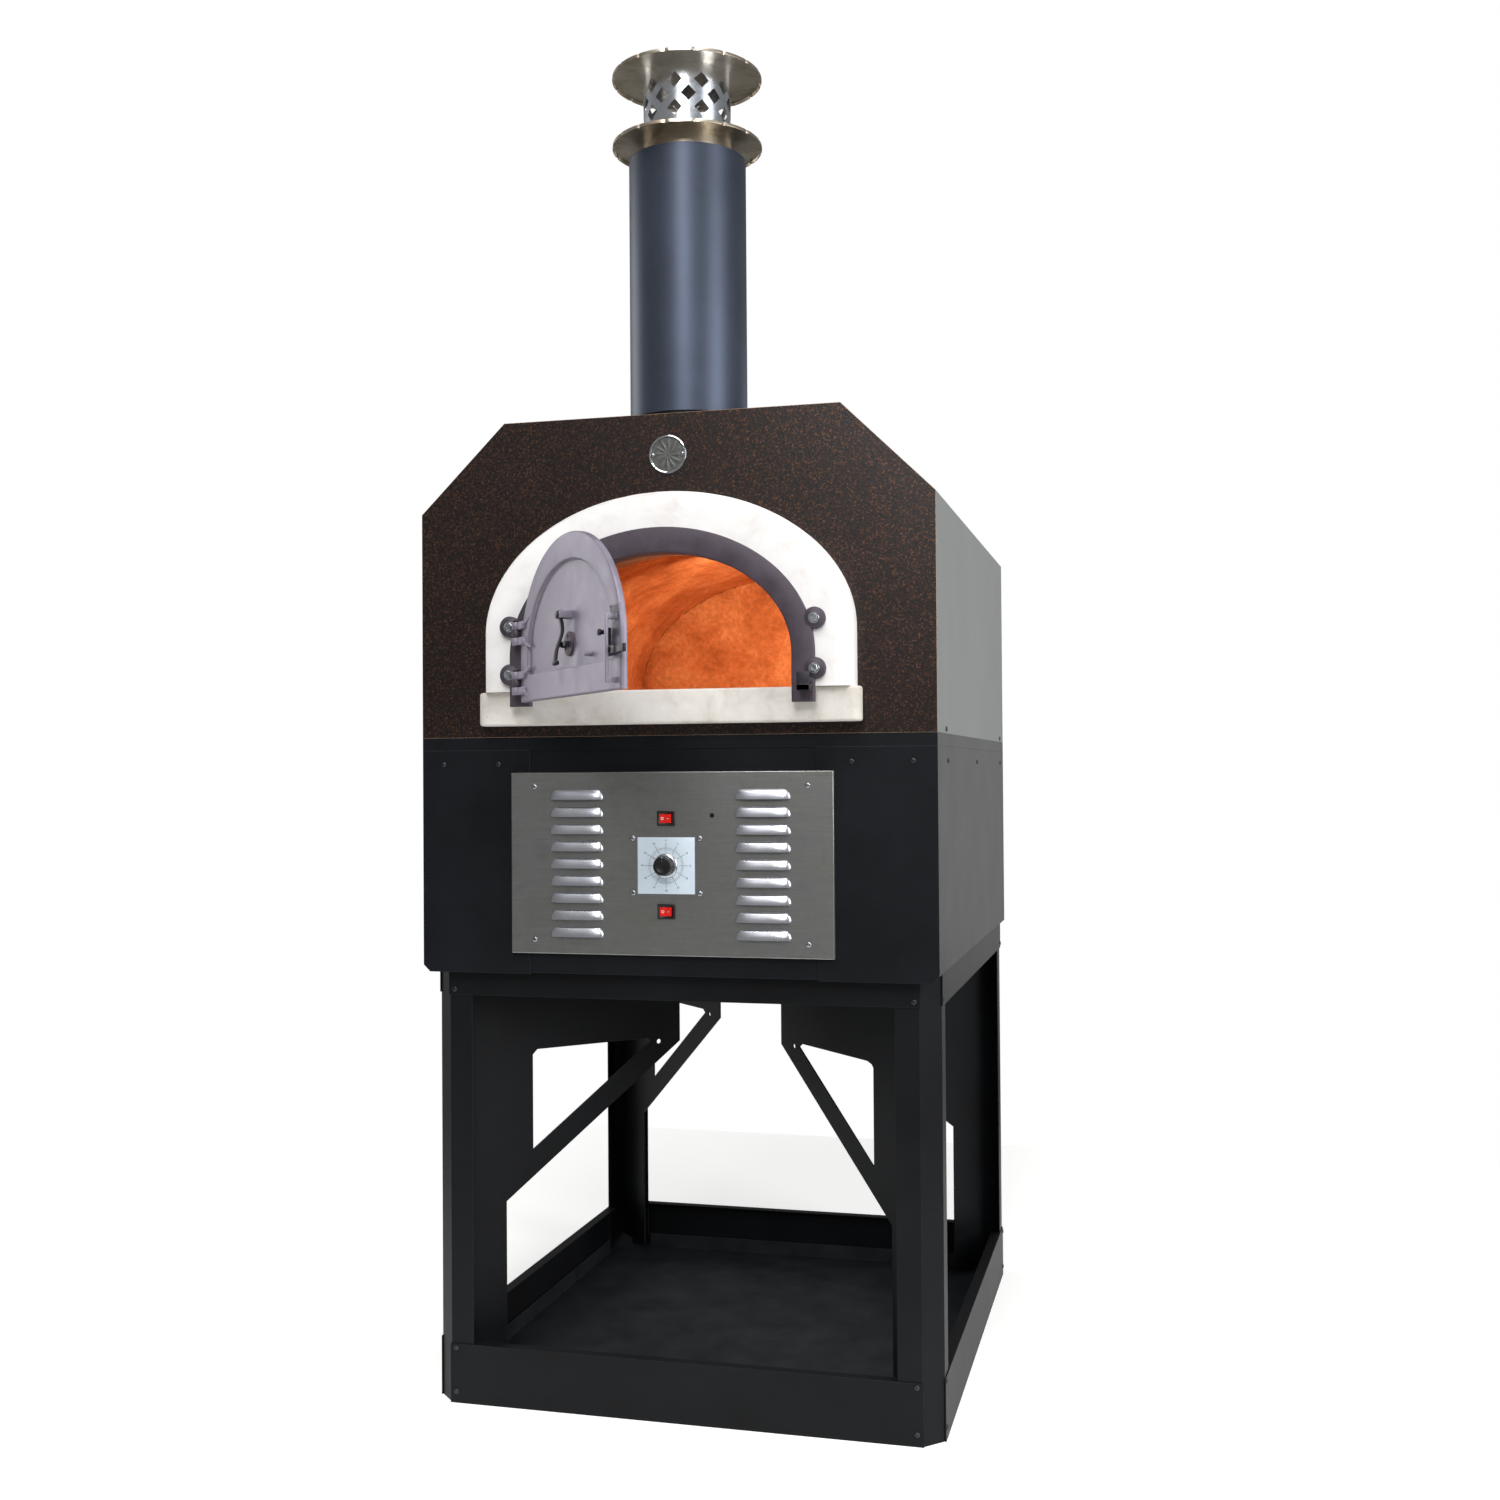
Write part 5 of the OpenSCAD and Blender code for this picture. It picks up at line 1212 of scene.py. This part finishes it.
def door_castings(mesh):
    """What is cast on the leaf: straps, knuckles, ribs, latch pad, guide bar, studs and lugs."""
    for z in HINGE_ZS:
        for step in (-1, 1):
            z0 = z + step * BARREL_STEP - BARREL_STEP / 2
            boss(mesh, HINGE.x, HINGE.y - 2 * MM, z0,
                 HINGE.x + 36 * MM, DOOR_BACK - 1 * MM, z0 + BARREL_STEP)
            knuckle(mesh, z0, 0, BARREL_STEP, 0.8 * MM)
        for step in (-1, 1):
            rib(mesh, (HINGE.x + 30 * MM, z + step * BARREL_STEP),
                (HINGE.x + 62 * MM, z + 2 * step * BARREL_STEP), 4 * MM, 4 * MM)
    boss(mesh, LATCH_X - 16 * MM, DOOR_FRONT, LATCH_Z - 14 * MM,
         DOOR_HALF_W - 4 * MM, DOOR_FIELD + 1 * MM, LATCH_Z + 66 * MM, 1.2 * MM)
    bar_low, bar_high = LATCH_Z - 47 * MM, LATCH_Z + 51 * MM
    for z in (bar_low, bar_high - 8 * MM):
        boss(mesh, BAR_X - 4 * MM, DOOR_FRONT - 14 * MM, z, BAR_X + 4 * MM, DOOR_FRONT + 1 * MM, z + 8 * MM)
    boss(mesh, BAR_X - 3 * MM, DOOR_FRONT - 17 * MM, bar_low, BAR_X + 3 * MM, DOOR_FRONT - 12 * MM, bar_high)
    rod(mesh, LATCH_X, LATCH_Z, 3 * MM, DOOR_FRONT - 9 * MM, DOOR_FRONT)
    rod(mesh, LATCH_X, LATCH_Z, 6 * MM, DOOR_FRONT - 12 * MM, DOOR_FRONT - 9 * MM, 1.2 * MM)
    rod(mesh, 0, VENT_Z, 3 * MM, DOOR_FIELD - 5 * MM, DOOR_FIELD)
    rod(mesh, 95 * MM, VENT_Z - 22 * MM, 3.5 * MM, DOOR_FIELD - 12 * MM, DOOR_FIELD, 1.2 * MM)
    for side in (-1, 1):
        x = side * 9 * MM
        boss(mesh, x - 2.5 * MM, HANDLE_Y - 5 * MM, HANDLE_Z - 6 * MM,
             x + 2.5 * MM, DOOR_FIELD + 1 * MM, HANDLE_Z + 6 * MM)
    lathe(mesh, mm((1.2, -11), (2.5, -10.2), (2.5, 10.2), (1.2, 11)), (0, HANDLE_Y, HANDLE_Z), ACROSS, 20)
    swing(mesh)


door_iron = cast_iron("grey_cast_iron_door", "#837c8a", "#968f9e", "#bdb7c4", 0.50)
leaf = build("door_leaf", door_leaf, door_iron, "door", "door", sharp=50)
cut_away(leaf, lambda mesh: port_bores(mesh, LEAF_PORT_R, 4, DOOR_BACK))
build("door_castings", door_castings, door_iron, "door", "door", sharp=50)

# Drop handle: a cast iron hook that hangs from its pin, thin at the waist, with a round bar
# across its foot.
HANDLE_L = 74 * MM


def hook(mesh):
    rows = []
    steps, half_t = 24, 2.5 * MM
    for i in range(steps + 1):
        s = i / steps
        out = (-3 * math.sin(2 * math.pi * s) + 9 * s ** 3) * MM
        down = 6 * MM + (HANDLE_L - 6 * MM) * s
        half_w = (6 - 1.6 * math.sin(math.pi * s)) * MM
        row = []
        for a in full_turn(16):
            square = 1 / (abs(math.cos(a)) ** 4 + abs(math.sin(a)) ** 4) ** 0.25
            row.append((half_w * math.cos(a) * square, HANDLE_Y - out + half_t * math.sin(a) * square,
                        HANDLE_Z - down))
        rows.append(row)
    skin(mesh, rows, around=True)
    lathe(mesh, mm((2.6, -6), (6.2, -6), (7, -5.2), (7, 5.2), (6.2, 6), (2.6, 6)),
          (0, HANDLE_Y, HANDLE_Z), ACROSS, 32, along=True)
    lathe(mesh, mm((1.5, -8), (3.4, -7.4), (4, -6), (4, 6), (3.4, 7.4), (1.5, 8)),
          (0, HANDLE_Y - 8 * MM, HANDLE_Z - HANDLE_L - 1 * MM), ACROSS, 32)
    swing(mesh)


build("drop_handle_hook", hook, dark_iron, "drop_handle", "drop_handle", sharp=50)

# Latch: a lever forged from 5 mm bar that turns on its stud between the leaf and the guide bar,
# with a small turned knob. Its tongue drops behind the keeper.


def latch(mesh):
    y0, y1 = DOOR_FRONT - 8 * MM, DOOR_FRONT - 3 * MM
    boss(mesh, LATCH_X, y0, LATCH_Z - 6 * MM, MOUTH_HALF_W + 37 * MM, y1, LATCH_Z + 6 * MM, 1.2 * MM)
    boss(mesh, LATCH_X - 13 * MM, y0, LATCH_Z - 8 * MM, LATCH_X + 3 * MM, y1, LATCH_Z + 32 * MM, 1.2 * MM)
    rod(mesh, LATCH_X, LATCH_Z, 9 * MM, y0, y1, 1 * MM, 32)
    lathe(mesh, mm((3.2, 0), (3.2, 6), (5, 8), (5, 10.5), (3.6, 11.9), (0.3, 12)),
          (LATCH_X - 8 * MM, y0, LATCH_Z + 26 * MM), FORWARD, 28)
    swing(mesh)


build("latch_lever_forging", latch, dark_iron, "latch_lever", "latch", sharp=50)

# Vent shutter: a round iron plate with three ports that turns on its stud over the ports in the
# leaf, with a conical knob wound from spring wire so that it stays cool.


def shutter(mesh):
    y0 = DOOR_FIELD - 4 * MM
    rod(mesh, 0, VENT_Z, 19 * MM, y0, DOOR_FIELD - 0.3 * MM, 0.8 * MM, 64)
    swing(mesh)


def shutter_knob(mesh):
    y0 = DOOR_FIELD - 4 * MM
    block(mesh, (-7 * MM, y0 - 7 * MM, VENT_Z - 4 * MM), (7 * MM, y0 + 0.5 * MM, VENT_Z + 4 * MM), 1.2 * MM)
    wire, turns, steps = 1.1 * MM, 9, 20
    rows = []
    for i in range(turns * steps + 1):
        s = i / (turns * steps)
        a = 2 * math.pi * i / steps
        reach = (5.5 - 3.0 * s) * MM - wire
        x = -6 * MM - wire - (22 * MM - 2 * wire) * s
        outward = Vector((0, math.cos(a), math.sin(a)))
        middle = Vector((x, y0 - 5 * MM, VENT_Z - 1 * MM)) + outward * reach
        rows.append([middle + outward * (wire * math.cos(b)) + Vector((wire * math.sin(b), 0, 0))
                     for b in full_turn(8)])
    skin(mesh, rows, around=True)
    swing(mesh)


plate = build("vent_shutter_plate", shutter, frame_iron, "vent_shutter", "vent")
cut_away(plate, lambda mesh: port_bores(mesh, LEAF_PORT_R - 1, 8, DOOR_FIELD))
build("vent_shutter_knob", shutter_knob, dark_iron, "vent_shutter", "vent", sharp=60)

# Hinge pins: two turned steel pins with a flat head, dropped through the knuckles from above.


def pins(mesh):
    for z in HINGE_ZS:
        lathe(mesh, mm((3.4, -21), (4, -20.4), (4, 20), (5.6, 20), (6, 20.5), (6, 22.2), (5.2, 23),
                       (0.5, 23)), (HINGE.x, HINGE.y, z), UP, 32)


build("hinge_pin_pair", pins, dark_iron, "hinge_pins")

# Pan screws: M5 machine screws with rounded heads and a cross recess. Those in the black sheet
# are blackened, and those in the control panel are bright.
HEAD_R = 4.5 * MM
HEAD_T = 2.4 * MM


def unit(axis):
    return Vector([1.0 if k == axis else 0.0 for k in range(3)])


def screw_places():
    """The seat and outward direction of every screw, read from the loose shells of its node."""
    shells = bmesh.new()
    shells.from_mesh(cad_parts["pan_screws"].data)
    bmesh.ops.remove_doubles(shells, verts=shells.verts, dist=0.01 * MM)
    shells.transform(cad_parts["pan_screws"].matrix_world)
    left = set(shells.verts)
    places = []
    while left:
        edge = [left.pop()]
        island = list(edge)
        while edge:
            reached = [e.other_vert(v) for v in edge for e in v.link_edges]
            edge = [v for v in set(reached) if v in left]
            left.difference_update(edge)
            island += edge
        low = Vector([min(v.co[k] for v in island) for k in range(3)])
        high = Vector([max(v.co[k] for v in island) for k in range(3)])
        axis = max(range(2), key=lambda k: abs(high[k] - low[k] - 2 * HEAD_R))
        middle = (low + high) / 2
        wide = [v.co[axis] for v in island if (v.co - middle).cross(unit(axis)).length > HEAD_R * 0.9]
        outward = -1 if sum(wide) / len(wide) < middle[axis] else 1
        seat = middle.copy()
        seat[axis] = (high[axis] if outward > 0 else low[axis]) - outward * HEAD_T
        places.append((seat, unit(axis) * outward))
    shells.free()
    return sorted(places, key=lambda place: tuple(place[0]))


def pan_heads(mesh, places):
    dome = [(HEAD_R, 0), (HEAD_R, 0.9 * MM), (4.0 * MM, 1.7 * MM), (2.9 * MM, 2.25 * MM), (1.6 * MM, HEAD_T),
            (0.1 * MM, HEAD_T)]
    for seat, outward in places:
        lathe(mesh, dome, seat, outward, 28)


def cross_recesses(mesh, places):
    a, b = 2.4 * MM, 0.55 * MM
    cross = ((b, a), (-b, a), (-b, b), (-a, b), (-a, -b), (-b, -b), (-b, -a), (b, -a), (b, -b), (a, -b),
             (a, b), (b, b))
    for n, (seat, outward) in enumerate(places):
        upright = Vector((0, 0, 1)).rotation_difference(outward).to_matrix()
        turn = upright @ Matrix.Rotation(1.7 * n, 3, "Z")
        rows = [[seat + turn @ Vector((x, y, z)) for x, y in cross] for z in (1.2 * MM, 4 * MM)]
        skin(mesh, rows, around=True)


screws = screw_places()
in_panel = [p for p in screws if abs(p[0].y - PANEL_FACE) < 1 * MM and abs(p[0].x) < PANEL_HIGH.x
            and PANEL_LOW.z < p[0].z < PANEL_HIGH.z]
in_sheet = [p for p in screws if p not in in_panel]
black_zinc = plain_finish("blackened_zinc_plate", "#3c3f44", 0.38, 0.6, 0.01, 0.12, metal=0.7, patch_mm=5)
for label, places, finish in (("bright", in_panel, bright_zinc), ("black", in_sheet, black_zinc)):
    heads = build("pan_screws_" + label, lambda mesh: pan_heads(mesh, places), finish,
                  "pan_screws")
    cut_away(heads, lambda mesh: cross_recesses(mesh, places))
